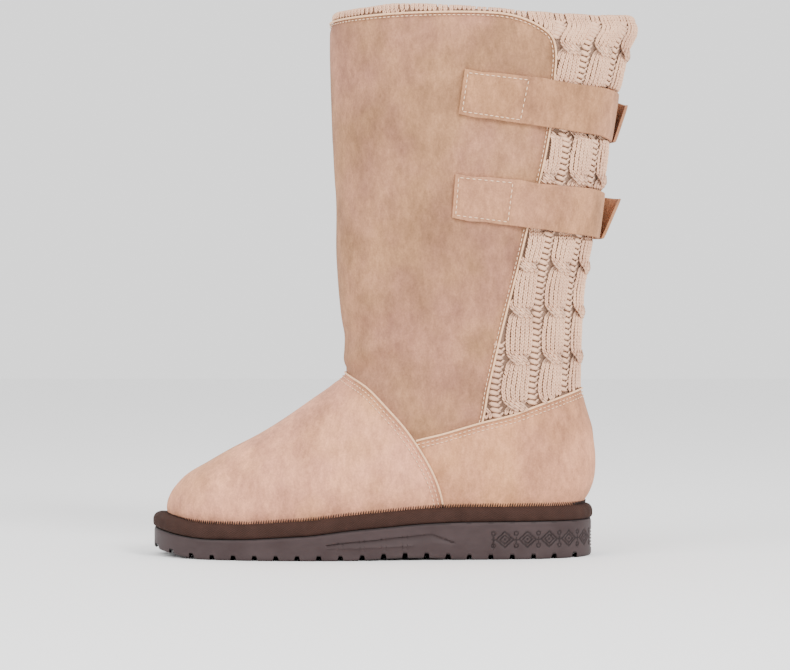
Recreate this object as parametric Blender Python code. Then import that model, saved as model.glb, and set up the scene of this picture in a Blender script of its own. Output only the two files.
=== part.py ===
"""Winter boot for a left foot: suede vamp, shaft and heel counter over a fleece-lined inner boot,
a cable-knit sleeve at the back and collar, four straps, a wrapped welt band and a wedge outsole.

Units are metres. +Z is up, the toe points along -X and the outer side of the foot faces -Y.
The origin is on the floor, under the middle of the heel's resting lug.
"""
import math
from collections import namedtuple

import bmesh
import bpy

# Driving dimensions of the sole
SOLE_LENGTH = 0.272
BALL_WIDTH = 0.101
FOREFOOT_THICKNESS = 0.0126
HEEL_THICKNESS = 0.0228
TOE_SPRING = 0.0046
ARCH_RISE = 0.0015
SOLE_EDGE_ROUND = 0.0018
HEEL_REST_FROM_BACK = 0.0444

# Tread, side grooves and heel ribs of the sole
TREAD_PITCH = 0.0130
TREAD_GROOVE_WIDTH = 0.0030
TREAD_GROOVE_DEPTH = 0.0030
SIDE_RECESS_DEPTH = 0.0010
HEEL_RIB_PITCH = 0.0032
HEEL_RIB_GROOVE = 0.0011
HEEL_RIB_DEPTH = 0.0006
HEEL_RIB_COUNT = 3
HEEL_RIBS_START, HEEL_RIBS_FULL = 0.950, 0.975

# Driving dimensions of the upper
UPPER_HEIGHT = 0.3152
TOE_SWING = 0.0040
OVERLAY_THICKNESS = 0.0017
LINING_THICKNESS = 0.0032
INSOLE_THICKNESS = 0.0040
CLEARANCE = 0.0003
INSOLE_FIT = 0.0006

# Welt band
BAND_HEIGHT = 0.0090
BAND_PROUD = 0.0008
BAND_ROUND = 0.0030

# Piping along the seams
PIPING_WIDTH = 0.0020
PIPING_PROUD = 0.0007

# Straps
STRAP_WIDTH = 0.0275
STRAP_THICKNESS = 0.0022
STRAP_STAND_OFF = 0.0013
STRAP_OVERLAP = 0.0300

# How finely the curved forms are divided
SIDE_COLUMNS = 14
CUT_REACH = 0.5

# Outline of the sole: share of the length from the toe, and how full each side is against an ellipse
OutlineRow = namedtuple("OutlineRow", "share outer inner")
SOLE_OUTLINE = (
    OutlineRow(0.00, 1.30, 1.20),
    OutlineRow(0.05, 1.36, 1.20),
    OutlineRow(0.10, 1.28, 1.18),
    OutlineRow(0.20, 1.17, 1.12),
    OutlineRow(0.30, 1.09, 1.07),
    OutlineRow(0.38, 1.04, 1.00),
    OutlineRow(0.50, 0.96, 0.87),
    OutlineRow(0.60, 0.91, 0.77),
    OutlineRow(0.70, 0.91, 0.78),
    OutlineRow(0.80, 0.98, 0.90),
    OutlineRow(0.90, 1.11, 1.07),
    OutlineRow(1.00, 1.26, 1.26),
)
LEG_OUTLINE = (
    OutlineRow(0.00, 1.05, 1.05),
    OutlineRow(0.25, 1.01, 1.01),
    OutlineRow(0.50, 1.00, 1.00),
    OutlineRow(0.80, 0.99, 0.99),
    OutlineRow(1.00, 1.02, 1.02),
)

# Rise of the sole's top ledge from forefoot to heel: share of the length, share of the rise
LedgeRow = namedtuple("LedgeRow", "share rise")
LEDGE_RISE = (
    LedgeRow(0.00, 0.00),
    LedgeRow(0.20, 0.00),
    LedgeRow(0.32, 0.17),
    LedgeRow(0.37, 0.26),
    LedgeRow(0.41, 0.40),
    LedgeRow(0.46, 0.56),
    LedgeRow(0.52, 0.70),
    LedgeRow(0.62, 0.92),
    LedgeRow(0.72, 1.00),
    LedgeRow(1.00, 1.00),
)
TOE_SPRING_SHARE = 0.13
ARCH_FROM, ARCH_TO = 0.42, 0.75

# Sections of the finished upper from the sole to the collar. front and back are shares of the sole's
# length from its toe, the rises are shares of the upper's height above the ledge, half_width is a share
# of the ball width, foot says how much of the foot's outline the section keeps, and hug how closely it
# follows the sole's ledge.
Section = namedtuple("Section", "front front_rise back back_rise half_width foot hug")
SECTIONS = (
    Section(0.0349, 0.0010, 0.9798, 0.0010, 0.431, 1.00, 1.00),
    Section(0.0310, 0.0290, 0.9835, 0.0300, 0.441, 1.00, 1.00),
    Section(0.0287, 0.0417, 0.9970, 0.0514, 0.460, 1.00, 0.90),
    Section(0.0331, 0.0565, 1.0059, 0.0736, 0.470, 0.95, 0.75),
    Section(0.0478, 0.0755, 1.0092, 0.0990, 0.470, 0.85, 0.60),
    Section(0.0779, 0.0990, 1.0085, 0.1275, 0.465, 0.70, 0.45),
    Section(0.1250, 0.1200, 1.0055, 0.1530, 0.455, 0.55, 0.30),
    Section(0.1783, 0.1444, 1.0026, 0.1783, 0.446, 0.42, 0.20),
    Section(0.2449, 0.1718, 0.9949, 0.2037, 0.441, 0.30, 0.10),
    Section(0.3066, 0.2027, 0.9853, 0.2322, 0.441, 0.20, 0.05),
    Section(0.3614, 0.2332, 0.9787, 0.2576, 0.446, 0.10, 0.00),
    Section(0.4050, 0.2592, 0.9783, 0.2814, 0.450, 0.05, 0.00),
    Section(0.4320, 0.2810, 0.9783, 0.3000, 0.455, 0.00, 0.00),
    Section(0.4371, 0.3060, 0.9790, 0.3220, 0.459, 0.00, 0.00),
    Section(0.4240, 0.4300, 0.9850, 0.4300, 0.474, 0.00, 0.00),
    Section(0.4200, 0.5000, 0.9960, 0.5000, 0.484, 0.00, 0.00),
    Section(0.4180, 0.5500, 1.0070, 0.5500, 0.491, 0.00, 0.00),
    Section(0.4154, 0.6360, 1.0190, 0.6360, 0.505, 0.00, 0.00),
    Section(0.4140, 0.6560, 1.0310, 0.6560, 0.508, 0.00, 0.00),
    Section(0.4100, 0.7320, 1.0430, 0.7320, 0.520, 0.00, 0.00),
    Section(0.4086, 0.7470, 1.0350, 0.7470, 0.522, 0.00, 0.00),
    Section(0.4052, 0.8290, 1.0500, 0.8290, 0.533, 0.00, 0.00),
    Section(0.4044, 0.8500, 1.0700, 0.8500, 0.536, 0.00, 0.00),
    Section(0.4030, 0.9180, 1.0880, 0.9180, 0.545, 0.00, 0.00),
    Section(0.4026, 0.9620, 1.1075, 0.9620, 0.548, 0.00, 0.00),
    Section(0.4060, 1.0000, 1.1000, 1.0000, 0.540, 0.00, 0.00),
)

# Seams in side view: along is a share of the sole's length from the toe, rise a share of the upper's
# height above the heel's ledge
SeamPoint = namedtuple("SeamPoint", "along rise")
VAMP_SEAM = (
    SeamPoint(0.330, 0.3700),
    SeamPoint(0.395, 0.3150),
    SeamPoint(0.4434, 0.2830),
    SeamPoint(0.4893, 0.2573),
    SeamPoint(0.5342, 0.2183),
    SeamPoint(0.5783, 0.1748),
    SeamPoint(0.6221, 0.1168),
    SeamPoint(0.6480, 0.0680),
    SeamPoint(0.6572, 0.0325),
    SeamPoint(0.6600, 0.0200),
    SeamPoint(0.6640, -0.0600),
)
COUNTER_SEAM = (
    SeamPoint(0.5200, 0.1350),
    SeamPoint(0.5985, 0.1570),
    SeamPoint(0.6563, 0.1691),
    SeamPoint(0.7434, 0.1907),
    SeamPoint(0.8125, 0.2050),
    SeamPoint(0.8640, 0.2208),
    SeamPoint(0.9100, 0.2348),
    SeamPoint(0.9610, 0.2503),
    SeamPoint(0.9950, 0.2600),
    SeamPoint(1.1000, 0.2830),
)
KNIT_SEAM = (
    SeamPoint(0.7220, 0.1300),
    SeamPoint(0.7467, 0.1948),
    SeamPoint(0.7599, 0.2595),
    SeamPoint(0.7923, 0.3798),
    SeamPoint(0.8261, 0.4940),
    SeamPoint(0.8463, 0.5673),
    SeamPoint(0.8779, 0.6735),
    SeamPoint(0.8974, 0.7633),
    SeamPoint(0.9059, 0.8553),
    SeamPoint(0.9085, 0.9000),
    SeamPoint(0.8990, 0.9300),
    SeamPoint(0.8655, 0.9520),
    SeamPoint(0.8100, 0.9690),
    SeamPoint(0.7445, 0.9745),
    SeamPoint(0.5900, 0.9760),
    SeamPoint(0.4500, 0.9740),
    SeamPoint(0.3600, 0.9730),
)

# Long recess in each side of the sole: share of the length, share of the heel's thickness
RecessPoint = namedtuple("RecessPoint", "along height")
SIDE_RECESS = (
    RecessPoint(0.425, 0.38),
    RecessPoint(0.560, 0.50),
    RecessPoint(0.645, 0.60),
    RecessPoint(0.672, 0.60),
    RecessPoint(0.722, 0.33),
    RecessPoint(0.600, 0.37),
    RecessPoint(0.500, 0.34),
)
HEEL_RIBS_FROM = 0.30

# Straps: front end and back height as shares of the sole's length and the upper's height, the length
# of the sewn box, and how far the free end of the inner strap stands off at its top and bottom corner
StrapRow = namedtuple("StrapRow", "name front front_rise back_rise box top_lift bottom_lift")
STRAPS = (
    StrapRow("upper", 0.6950, 0.8250, 0.7880, 0.040, 0.0052, 0.0004),
    StrapRow("lower", 0.6800, 0.6260, 0.5940, 0.036, 0.0086, 0.0006),
)
STRAP_STATIONS = 12
SEWN_TO_FREE = 0.014

# Finishes: base colour and roughness
SUEDE = ("suede", (0.62, 0.46, 0.37), 0.95)
KNIT = ("knit", (0.66, 0.54, 0.46), 0.95)
FLEECE = ("fleece_lining", (0.78, 0.68, 0.58), 1.0)
SOLE_RUBBER = ("sole_rubber", (0.13, 0.10, 0.10), 0.6)
BAND_CLOTH = ("band_cloth", (0.06, 0.035, 0.028), 0.8)
PIPING = ("piping", (0.80, 0.64, 0.52), 0.8)
INSOLE_FELT = ("insole_felt", (0.74, 0.64, 0.55), 1.0)


def clear_scene():
    """Removes every object of the scene."""
    for obj in list(bpy.data.objects):
        bpy.data.objects.remove(obj)


def make_collection(name):
    """A new collection, linked to the scene."""
    collection = bpy.data.collections.new(name)
    bpy.context.scene.collection.children.link(collection)
    return collection


def material_for(finish):
    """The material of a finish, made once."""
    name, colour, roughness = finish
    found = bpy.data.materials.get(name)
    if found:
        return found
    made = bpy.data.materials.new(name)
    made.use_nodes = True
    shader = made.node_tree.nodes["Principled BSDF"]
    shader.inputs["Base Color"].default_value = (*colour, 1.0)
    shader.inputs["Roughness"].default_value = roughness
    shader.inputs["Metallic"].default_value = 0.0
    return made


def object_from(name, mesh_builder, collection, finish=None):
    """A mesh object from a filled bmesh, with its faces turned outwards."""
    bmesh.ops.remove_doubles(mesh_builder, verts=mesh_builder.verts, dist=1e-7)
    bmesh.ops.recalc_face_normals(mesh_builder, faces=mesh_builder.faces)
    mesh = bpy.data.meshes.new(name)
    mesh_builder.to_mesh(mesh)
    mesh_builder.free()
    obj = bpy.data.objects.new(name, mesh)
    collection.objects.link(obj)
    if finish:
        mesh.materials.append(material_for(finish))
        mesh.shade_smooth()
        mesh.set_sharp_from_angle(angle=math.radians(35))
    return obj


def read_table(rows, column, share):
    """Smooth reading of one column of a table whose first column is the share."""
    last = len(rows) - 1
    share = min(max(share, rows[0][0]), rows[last][0])
    at = 0
    while at < last - 1 and share > rows[at + 1][0]:
        at += 1
    before, left, right, after = (rows[min(max(at + step, 0), last)] for step in (-1, 0, 1, 2))
    span = right[0] - left[0]
    t = (share - left[0]) / span

    def slope(low, high):
        return (getattr(high, column) - getattr(low, column)) / max(high[0] - low[0], 1e-9)

    start, end = getattr(left, column), getattr(right, column)
    leave, arrive = slope(before, right) * span, slope(left, after) * span
    return (
        (2 * t**3 - 3 * t**2 + 1) * start
        + (t**3 - 2 * t**2 + t) * leave
        + (3 * t**2 - 2 * t**3) * end
        + (t**3 - t**2) * arrive
    )


def toe_curl(share):
    """How much of the toe spring is reached at a share of the length."""
    return max(0.0, 1 - share / TOE_SPRING_SHARE) ** 1.5


def ledge_height(share):
    """Height of the sole's top ledge, which carries the upper and the band."""
    rise = (HEEL_THICKNESS - FOREFOOT_THICKNESS) * read_table(LEDGE_RISE, "rise", share)
    return FOREFOOT_THICKNESS + rise + TOE_SPRING * toe_curl(share)


def tread_height(share):
    """Height of the sole's underside: flat at heel and forefoot, with toe spring and arch."""
    height = TOE_SPRING * toe_curl(share)
    if ARCH_FROM < share < ARCH_TO:
        height += ARCH_RISE * math.sin(math.pi * (share - ARCH_FROM) / (ARCH_TO - ARCH_FROM)) ** 2
    return height


def world_x(from_toe):
    """X in the boot's frame of a distance from the sole's toe."""
    return from_toe - (SOLE_LENGTH - HEEL_REST_FROM_BACK)


def share_at(x):
    """Share of the sole's length from the toe at an X of the boot's frame."""
    return min(max((x + SOLE_LENGTH - HEEL_REST_FROM_BACK) / SOLE_LENGTH, 0.0), 1.0)


def side_of(turn):
    """Which outline column a turn reads: the outer side of the foot has positive turns."""
    return "outer" if math.sin(turn) >= 0 else "inner"


def toe_centre(share, foot):
    """Sideways swing of the centre line towards the inner side at the toe."""
    return TOE_SWING * foot * max(0.0, 1 - share / 0.35) ** 2


def sole_point(turn, inset=0.0):
    """(x, y) on the sole's outline. turn is 0 at the toe, pi at the heel and positive on the outer side."""
    def on_outline(angle):
        share = (1 - math.cos(angle)) / 2
        full = read_table(SOLE_OUTLINE, side_of(angle), share)
        y = toe_centre(share, 1.0) - BALL_WIDTH / 2 * full * math.sin(angle)
        return world_x(SOLE_LENGTH * share), y

    step = 0.01
    x, y = on_outline(turn)
    ahead, behind = on_outline(turn + step), on_outline(turn - step)
    run_x, run_y = ahead[0] - behind[0], ahead[1] - behind[1]
    length = math.hypot(run_x, run_y)
    return x - inset * run_y / length, y + inset * run_x / length


def raw_skin(section, turn):
    """A point of the finished outer surface, on one section's ring."""
    share = (1 - math.cos(turn)) / 2
    front, back = section.front * SOLE_LENGTH, section.back * SOLE_LENGTH
    x = world_x(front + (back - front) * share)
    side = side_of(turn)
    foot_full = read_table(SOLE_OUTLINE, side, share)
    leg_full = read_table(LEG_OUTLINE, side, share)
    full = section.foot * foot_full + (1 - section.foot) * leg_full
    y = toe_centre(share, section.foot) - BALL_WIDTH * section.half_width * full * math.sin(turn)
    rise = section.front_rise + (section.back_rise - section.front_rise) * share
    ledge = HEEL_THICKNESS + section.hug * (ledge_height(share_at(x)) - HEEL_THICKNESS)
    return (x, y, ledge + rise * UPPER_HEIGHT)


def subtract(a, b):
    return tuple(p - q for p, q in zip(a, b))


def cross(a, b):
    return (a[1] * b[2] - a[2] * b[1], a[2] * b[0] - a[0] * b[2], a[0] * b[1] - a[1] * b[0])


def unit(a):
    length = math.sqrt(sum(p * p for p in a))
    return tuple(p / length for p in a)


def skin(level, turn, outset=0.0):
    """A point of the upper's form, moved out along its normal. level counts the rows of SECTIONS."""
    point = raw_skin(SECTIONS[level], turn)
    if outset == 0.0:
        return point
    step = 0.02
    above = SECTIONS[min(level + 1, len(SECTIONS) - 1)]
    below = SECTIONS[max(level - 1, 0)]
    up = subtract(raw_skin(above, turn), raw_skin(below, turn))
    around = subtract(raw_skin(SECTIONS[level], turn + step), raw_skin(SECTIONS[level], turn - step))
    normal = unit(cross(around, up))
    return tuple(p + outset * n for p, n in zip(point, normal))


def turns():
    """The angles of one whole ring of the upper: out along the outer side and back along the inner."""
    count = 2 * SIDE_COLUMNS
    return [2 * math.pi * step / count for step in range(count)]


def mix_sections(low, high, t):
    """A section between two rows of the table."""
    return Section(*(a + (b - a) * t for a, b in zip(low, high)))


def section_at_rise(rise):
    """The level ring of the shaft at a share of the upper's height."""
    for low, high in zip(SECTIONS, SECTIONS[1:]):
        if low.back_rise <= rise <= high.back_rise and low.front_rise == low.back_rise:
            return mix_sections(low, high, (rise - low.back_rise) / (high.back_rise - low.back_rise))
    return SECTIONS[-1]


def fill_between(mesh_builder, rings, close_rows):
    """Triangles between neighbouring closed rings, and from the last ring to the first if close_rows.

    The diagonals always run the same way, so that two offsets of one form stay evenly apart.
    """
    pairs = list(zip(rings, rings[1:]))
    if close_rows:
        pairs.append((rings[-1], rings[0]))
    for low, high in pairs:
        for at in range(len(low)):
            after = (at + 1) % len(low)
            mesh_builder.faces.new((low[at], low[after], high[after]))
            mesh_builder.faces.new((low[at], high[after], high[at]))


def ring_verts(mesh_builder, points):
    return [mesh_builder.verts.new(point) for point in points]


def shell_object(name, collection, low_outset, high_outset, finish=None):
    """The wall between two offsets of the upper's form, open at the collar and underneath."""
    mesh_builder = bmesh.new()
    walls = []
    for outset in (low_outset, high_outset):
        rings = []
        for level in range(len(SECTIONS)):
            rings.append(ring_verts(mesh_builder, [skin(level, turn, outset) for turn in turns()]))
        fill_between(mesh_builder, rings, close_rows=False)
        walls.append(rings)
    inside, outside = walls
    for rim in (0, -1):
        fill_between(mesh_builder, [inside[rim], outside[rim]], close_rows=False)
    return object_from(name, mesh_builder, collection, finish)


def make_upper(collection):
    """The hollow inner boot: fleece lining and backing in one wall, in the true shape of the last."""
    outer = -(OVERLAY_THICKNESS + CLEARANCE)
    return shell_object("upper", collection, outer - LINING_THICKNESS, outer, FLEECE)


def seam_line(points):
    """A seam's points in side view, as (x, z)."""
    return [(world_x(p.along * SOLE_LENGTH), HEEL_THICKNESS + p.rise * UPPER_HEIGHT) for p in points]


def offset_line(line, distance):
    """The line moved to its left, seen along its course, by the distance."""
    moved = []
    for at, (x, z) in enumerate(line):
        start, end = line[max(at - 1, 0)], line[min(at + 1, len(line) - 1)]
        run_x, run_z = end[0] - start[0], end[1] - start[1]
        length = math.hypot(run_x, run_z)
        moved.append((x - distance * run_z / length, z + distance * run_x / length))
    return moved


def prism(name, outline, collection, reach=CUT_REACH):
    """A closed prism across the boot from a side-view outline."""
    mesh_builder = bmesh.new()
    near = mesh_builder.faces.new([mesh_builder.verts.new((x, -reach, z)) for x, z in outline])
    made = bmesh.ops.extrude_face_region(mesh_builder, geom=[near])
    moved = [item for item in made["geom"] if isinstance(item, bmesh.types.BMVert)]
    bmesh.ops.translate(mesh_builder, verts=moved, vec=(0, 2 * reach, 0))
    obj = object_from(name, mesh_builder, collection)
    obj.hide_render = True
    obj.display_type = "WIRE"
    return obj


def combine(obj, cutter, operation):
    """Applies one exact Boolean to the object's mesh."""
    modifier = obj.modifiers.new("cut", "BOOLEAN")
    modifier.operation = operation
    modifier.object = cutter
    modifier.solver = "EXACT"
    bpy.context.view_layer.update()
    graph = bpy.context.evaluated_depsgraph_get()
    finished = bpy.data.meshes.new_from_object(obj.evaluated_get(graph))
    obj.modifiers.remove(modifier)
    old = obj.data
    obj.data = finished
    bpy.data.meshes.remove(old)


def half_plane(name, line, corners, collection):
    """A cutter on one side of a seam: the seam's line closed by far corners."""
    return prism(name, list(line) + list(corners), collection)


def seam_cutters(cutters):
    """The prisms that part the form along its seams, on either side of each piping, and the pipings'."""
    far = CUT_REACH
    half = PIPING_WIDTH / 2
    edge = half + CLEARANCE
    lines = {
        "vamp": seam_line(VAMP_SEAM),
        "counter": seam_line(COUNTER_SEAM),
        "knit": seam_line(KNIT_SEAM),
    }
    found = {}
    vamp, counter, knit = lines["vamp"], lines["counter"], lines["knit"]
    # The vamp seam runs down, so its left is the heel's side.
    top, bottom = vamp[0], vamp[-1]
    to_toe = [(bottom[0], -far), (-far, -far), (-far, far), (top[0], far)]
    to_heel = [(bottom[0], -far), (far, -far), (far, far), (top[0], far)]
    found["toe_side"] = half_plane("toe_side", offset_line(vamp, -edge), to_toe, cutters)
    found["heel_side"] = half_plane("heel_side", offset_line(vamp, edge), to_heel, cutters)
    # The counter seam runs to the heel, so its left is above it.
    front, rear = counter[0], counter[-1]
    upwards = [(far, rear[1]), (far, far), (-far, far), (-far, front[1])]
    downwards = [(far, rear[1]), (far, -far), (-far, -far), (-far, front[1])]
    found["above"] = half_plane("above", offset_line(counter, edge), upwards, cutters)
    found["below"] = half_plane("below", offset_line(counter, -edge), downwards, cutters)
    # The knit seam runs up and then forward, so its left is the suede panel.
    foot, tip = knit[0], knit[-1]
    around_panel = [(-far, tip[1]), (-far, -far), (foot[0], -far)]
    found["panel"] = half_plane("panel", offset_line(knit, edge), around_panel, cutters)
    found["inside_knit"] = half_plane("inside_knit", offset_line(knit, -edge), around_panel, cutters)
    band_top = HEEL_THICKNESS + BAND_HEIGHT + 2 * CLEARANCE
    for seam, whole in lines.items():
        line = [point for point in whole if point[1] > band_top]
        strip = offset_line(line, half) + list(reversed(offset_line(line, -half)))
        found[seam + "_strip"] = prism(seam + "_strip", strip, cutters)
    return found


def make_overlays(collection, cutters):
    """Suede panels, knit sleeve and pipings, each cut between two offsets of the upper's form."""
    cut = seam_cutters(cutters)
    panels = (
        ("vamp", SUEDE, 0.0, (("toe_side", "INTERSECT"),)),
        ("heel_counter", SUEDE, 0.0, (("heel_side", "INTERSECT"), ("below", "INTERSECT"))),
        (
            "shaft_panel",
            SUEDE,
            0.0,
            (("heel_side", "INTERSECT"), ("above", "INTERSECT"), ("panel", "INTERSECT")),
        ),
        ("knit_sleeve", KNIT, 0.0, (("above", "INTERSECT"), ("inside_knit", "DIFFERENCE"))),
        ("vamp_piping", PIPING, PIPING_PROUD, (("vamp_strip", "INTERSECT"),)),
        (
            "counter_piping",
            PIPING,
            PIPING_PROUD,
            (("heel_side", "INTERSECT"), ("counter_strip", "INTERSECT")),
        ),
        ("knit_piping", PIPING, PIPING_PROUD, (("above", "INTERSECT"), ("knit_strip", "INTERSECT"))),
    )
    for name, finish, proud, steps in panels:
        obj = shell_object(name, collection, -OVERLAY_THICKNESS, proud, finish)
        for cutter, operation in steps:
            combine(obj, cut[cutter], operation)


def make_band(collection):
    """The wrapped welt band that covers the joint of upper and sole."""
    mesh_builder = bmesh.new()
    rings = [[] for _ in range(7)]
    for turn in turns():
        foot = skin(0, turn, CLEARANCE)
        neck = skin(1, turn, CLEARANCE)
        outer = sole_point(turn, -BAND_PROUD)
        bottom = ledge_height(share_at(outer[0])) + CLEARANCE
        inner_bottom = ledge_height(share_at(foot[0])) + 2 * CLEARANCE
        top = bottom + BAND_HEIGHT
        shoulder = sole_point(turn, -BAND_PROUD + BAND_ROUND * 0.3)
        crown = sole_point(turn, -BAND_PROUD + BAND_ROUND)
        section = (
            (foot[0], foot[1], inner_bottom),
            (outer[0], outer[1], bottom),
            (outer[0], outer[1], top - BAND_ROUND),
            (shoulder[0], shoulder[1], top - BAND_ROUND * 0.3),
            (crown[0], crown[1], top),
            (neck[0], neck[1], top - BAND_ROUND * 0.2),
            (
                (foot[0] + neck[0]) / 2,
                (foot[1] + neck[1]) / 2,
                (bottom + top) / 2,
            ),
        )
        for ring, point in zip(rings, section):
            ring.append(mesh_builder.verts.new(point))
    fill_between(mesh_builder, rings, close_rows=True)
    return object_from("welt_band", mesh_builder, collection, BAND_CLOTH)


def cap_across(mesh_builder, ring):
    """Closes a ring with strips across the foot, so that the cap keeps its profile along the length."""
    count = len(ring)
    half = count // 2
    for at in range(half):
        left, left_next = ring[at], ring[at + 1]
        right, right_next = ring[(count - at) % count], ring[count - at - 1]
        corners = [left, left_next, right_next, right]
        unique = [v for at_corner, v in enumerate(corners) if v not in corners[:at_corner]]
        mesh_builder.faces.new(unique)


def sole_block(name, collection, levels, finish=None):
    """A solid of the sole's outline. levels gives (inset, height function) from bottom to top."""
    mesh_builder = bmesh.new()
    rings = []
    for inset, height in levels:
        points = []
        for turn in turns():
            share = (1 - math.cos(turn)) / 2
            x, y = sole_point(turn, inset * heel_share(share) if inset == HEEL_RIB_DEPTH else inset)
            points.append((x, y, height(share)))
        rings.append(ring_verts(mesh_builder, points))
    fill_between(mesh_builder, rings, close_rows=False)
    cap_across(mesh_builder, rings[0])
    cap_across(mesh_builder, rings[-1])
    return object_from(name, mesh_builder, collection, finish)


def tread_cutter(collection):
    """All the cross grooves of the tread as one cutter, half a pitch either side of the resting lug."""
    mesh_builder = bmesh.new()
    half = TREAD_GROOVE_WIDTH / 2
    crown = half * 0.45
    profile = ((-half, -1.0), (half, -1.0), (half, 0.35), (crown, 1.0), (-crown, 1.0), (-half, 0.35))
    first = -int((SOLE_LENGTH - HEEL_REST_FROM_BACK) / TREAD_PITCH + 0.5)
    last = int(HEEL_REST_FROM_BACK / TREAD_PITCH - 0.5)
    for count in range(first, last + 1):
        x = (count + 0.5) * TREAD_PITCH
        floor = tread_height(share_at(x))
        near = mesh_builder.faces.new(
            [
                mesh_builder.verts.new((x + dx, -BALL_WIDTH, floor + dz * TREAD_GROOVE_DEPTH))
                for dx, dz in profile
            ]
        )
        made = bmesh.ops.extrude_face_region(mesh_builder, geom=[near])
        moved = [item for item in made["geom"] if isinstance(item, bmesh.types.BMVert)]
        bmesh.ops.translate(mesh_builder, verts=moved, vec=(0, 2 * BALL_WIDTH, 0))
    obj = object_from("tread_grooves", mesh_builder, collection)
    obj.hide_render = True
    obj.display_type = "WIRE"
    return obj


def side_cutter(name, collection, outline, depth):
    """Cuts a side-view outline into the sole's wall to an even depth."""
    cutter = prism(name, outline, collection, BALL_WIDTH)
    core = sole_block(
        name + "_core",
        collection,
        ((depth, lambda share: -BALL_WIDTH), (depth, lambda share: BALL_WIDTH)),
    )
    core.hide_render = True
    core.display_type = "WIRE"
    combine(cutter, core, "DIFFERENCE")
    return cutter


def heel_share(share):
    """How much of the heel ribs' depth is reached at a share of the length."""
    return smooth_step((share - HEEL_RIBS_START) / (HEEL_RIBS_FULL - HEEL_RIBS_START))


def wall_height(share, part):
    """Height of a point of the sole's wall, part of the way from its rounded foot to the ledge."""
    low = tread_height(share) + SOLE_EDGE_ROUND * 1.2
    return low + part * (ledge_height(share) - low)


def make_outsole(collection, cutters):
    """The wedge outsole with toe spring, arch, cross-cut tread, side recesses and heel ribs."""
    levels = [
        (SOLE_EDGE_ROUND, tread_height),
        (SOLE_EDGE_ROUND * 0.3, lambda share: tread_height(share) + SOLE_EDGE_ROUND * 0.4),
        (0.0, lambda share: wall_height(share, 0.0)),
    ]
    for count in range(HEEL_RIB_COUNT):
        start = HEEL_RIBS_FROM + count * HEEL_RIB_PITCH / HEEL_THICKNESS
        half = HEEL_RIB_GROOVE / 2 / HEEL_THICKNESS
        levels.append((0.0, lambda share, part=start: wall_height(share, part)))
        levels.append((HEEL_RIB_DEPTH, lambda share, part=start + half: wall_height(share, part)))
        levels.append((0.0, lambda share, part=start + 2 * half: wall_height(share, part)))
    levels.append((0.0, ledge_height))
    outsole = sole_block("outsole", collection, levels, SOLE_RUBBER)
    recess = [(world_x(p.along * SOLE_LENGTH), p.height * HEEL_THICKNESS) for p in SIDE_RECESS]
    combine(outsole, side_cutter("side_recess", cutters, recess, SIDE_RECESS_DEPTH), "DIFFERENCE")
    combine(outsole, tread_cutter(cutters), "DIFFERENCE")
    return outsole


def make_insole(collection):
    """The insole on the sole's top, inside the foot of the upper."""
    mesh_builder = bmesh.new()
    inset = -(OVERLAY_THICKNESS + CLEARANCE + LINING_THICKNESS + INSOLE_FIT)
    rings = []
    for height in (CLEARANCE, CLEARANCE + INSOLE_THICKNESS):
        points = []
        for turn in turns():
            x, y, _ = skin(0, turn, inset)
            points.append((x, y, ledge_height(share_at(x)) + height))
        rings.append(ring_verts(mesh_builder, points))
    fill_between(mesh_builder, rings, close_rows=False)
    cap_across(mesh_builder, rings[0])
    cap_across(mesh_builder, rings[-1])
    return object_from("insole", mesh_builder, collection, INSOLE_FELT)


def turn_at(section, x):
    """The turn on the outer side where a level section reaches an X."""
    front = world_x(section.front * SOLE_LENGTH)
    back = world_x(section.back * SOLE_LENGTH)
    share = min(max((x - front) / (back - front), 0.0), 1.0)
    return math.acos(1 - 2 * share)


def shaft_point(rise, turn, outset):
    """A point on the shaft at a height and a turn, moved out level with the floor."""
    section = section_at_rise(rise)
    step = 0.02
    point = raw_skin(section, turn)
    ahead, behind = raw_skin(section, turn + step), raw_skin(section, turn - step)
    run_x, run_y = ahead[0] - behind[0], ahead[1] - behind[1]
    length = math.hypot(run_x, run_y)
    return (point[0] + outset * run_y / length, point[1] - outset * run_x / length, point[2])


def smooth_step(value):
    value = min(max(value, 0.0), 1.0)
    return value * value * (3 - 2 * value)


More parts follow.
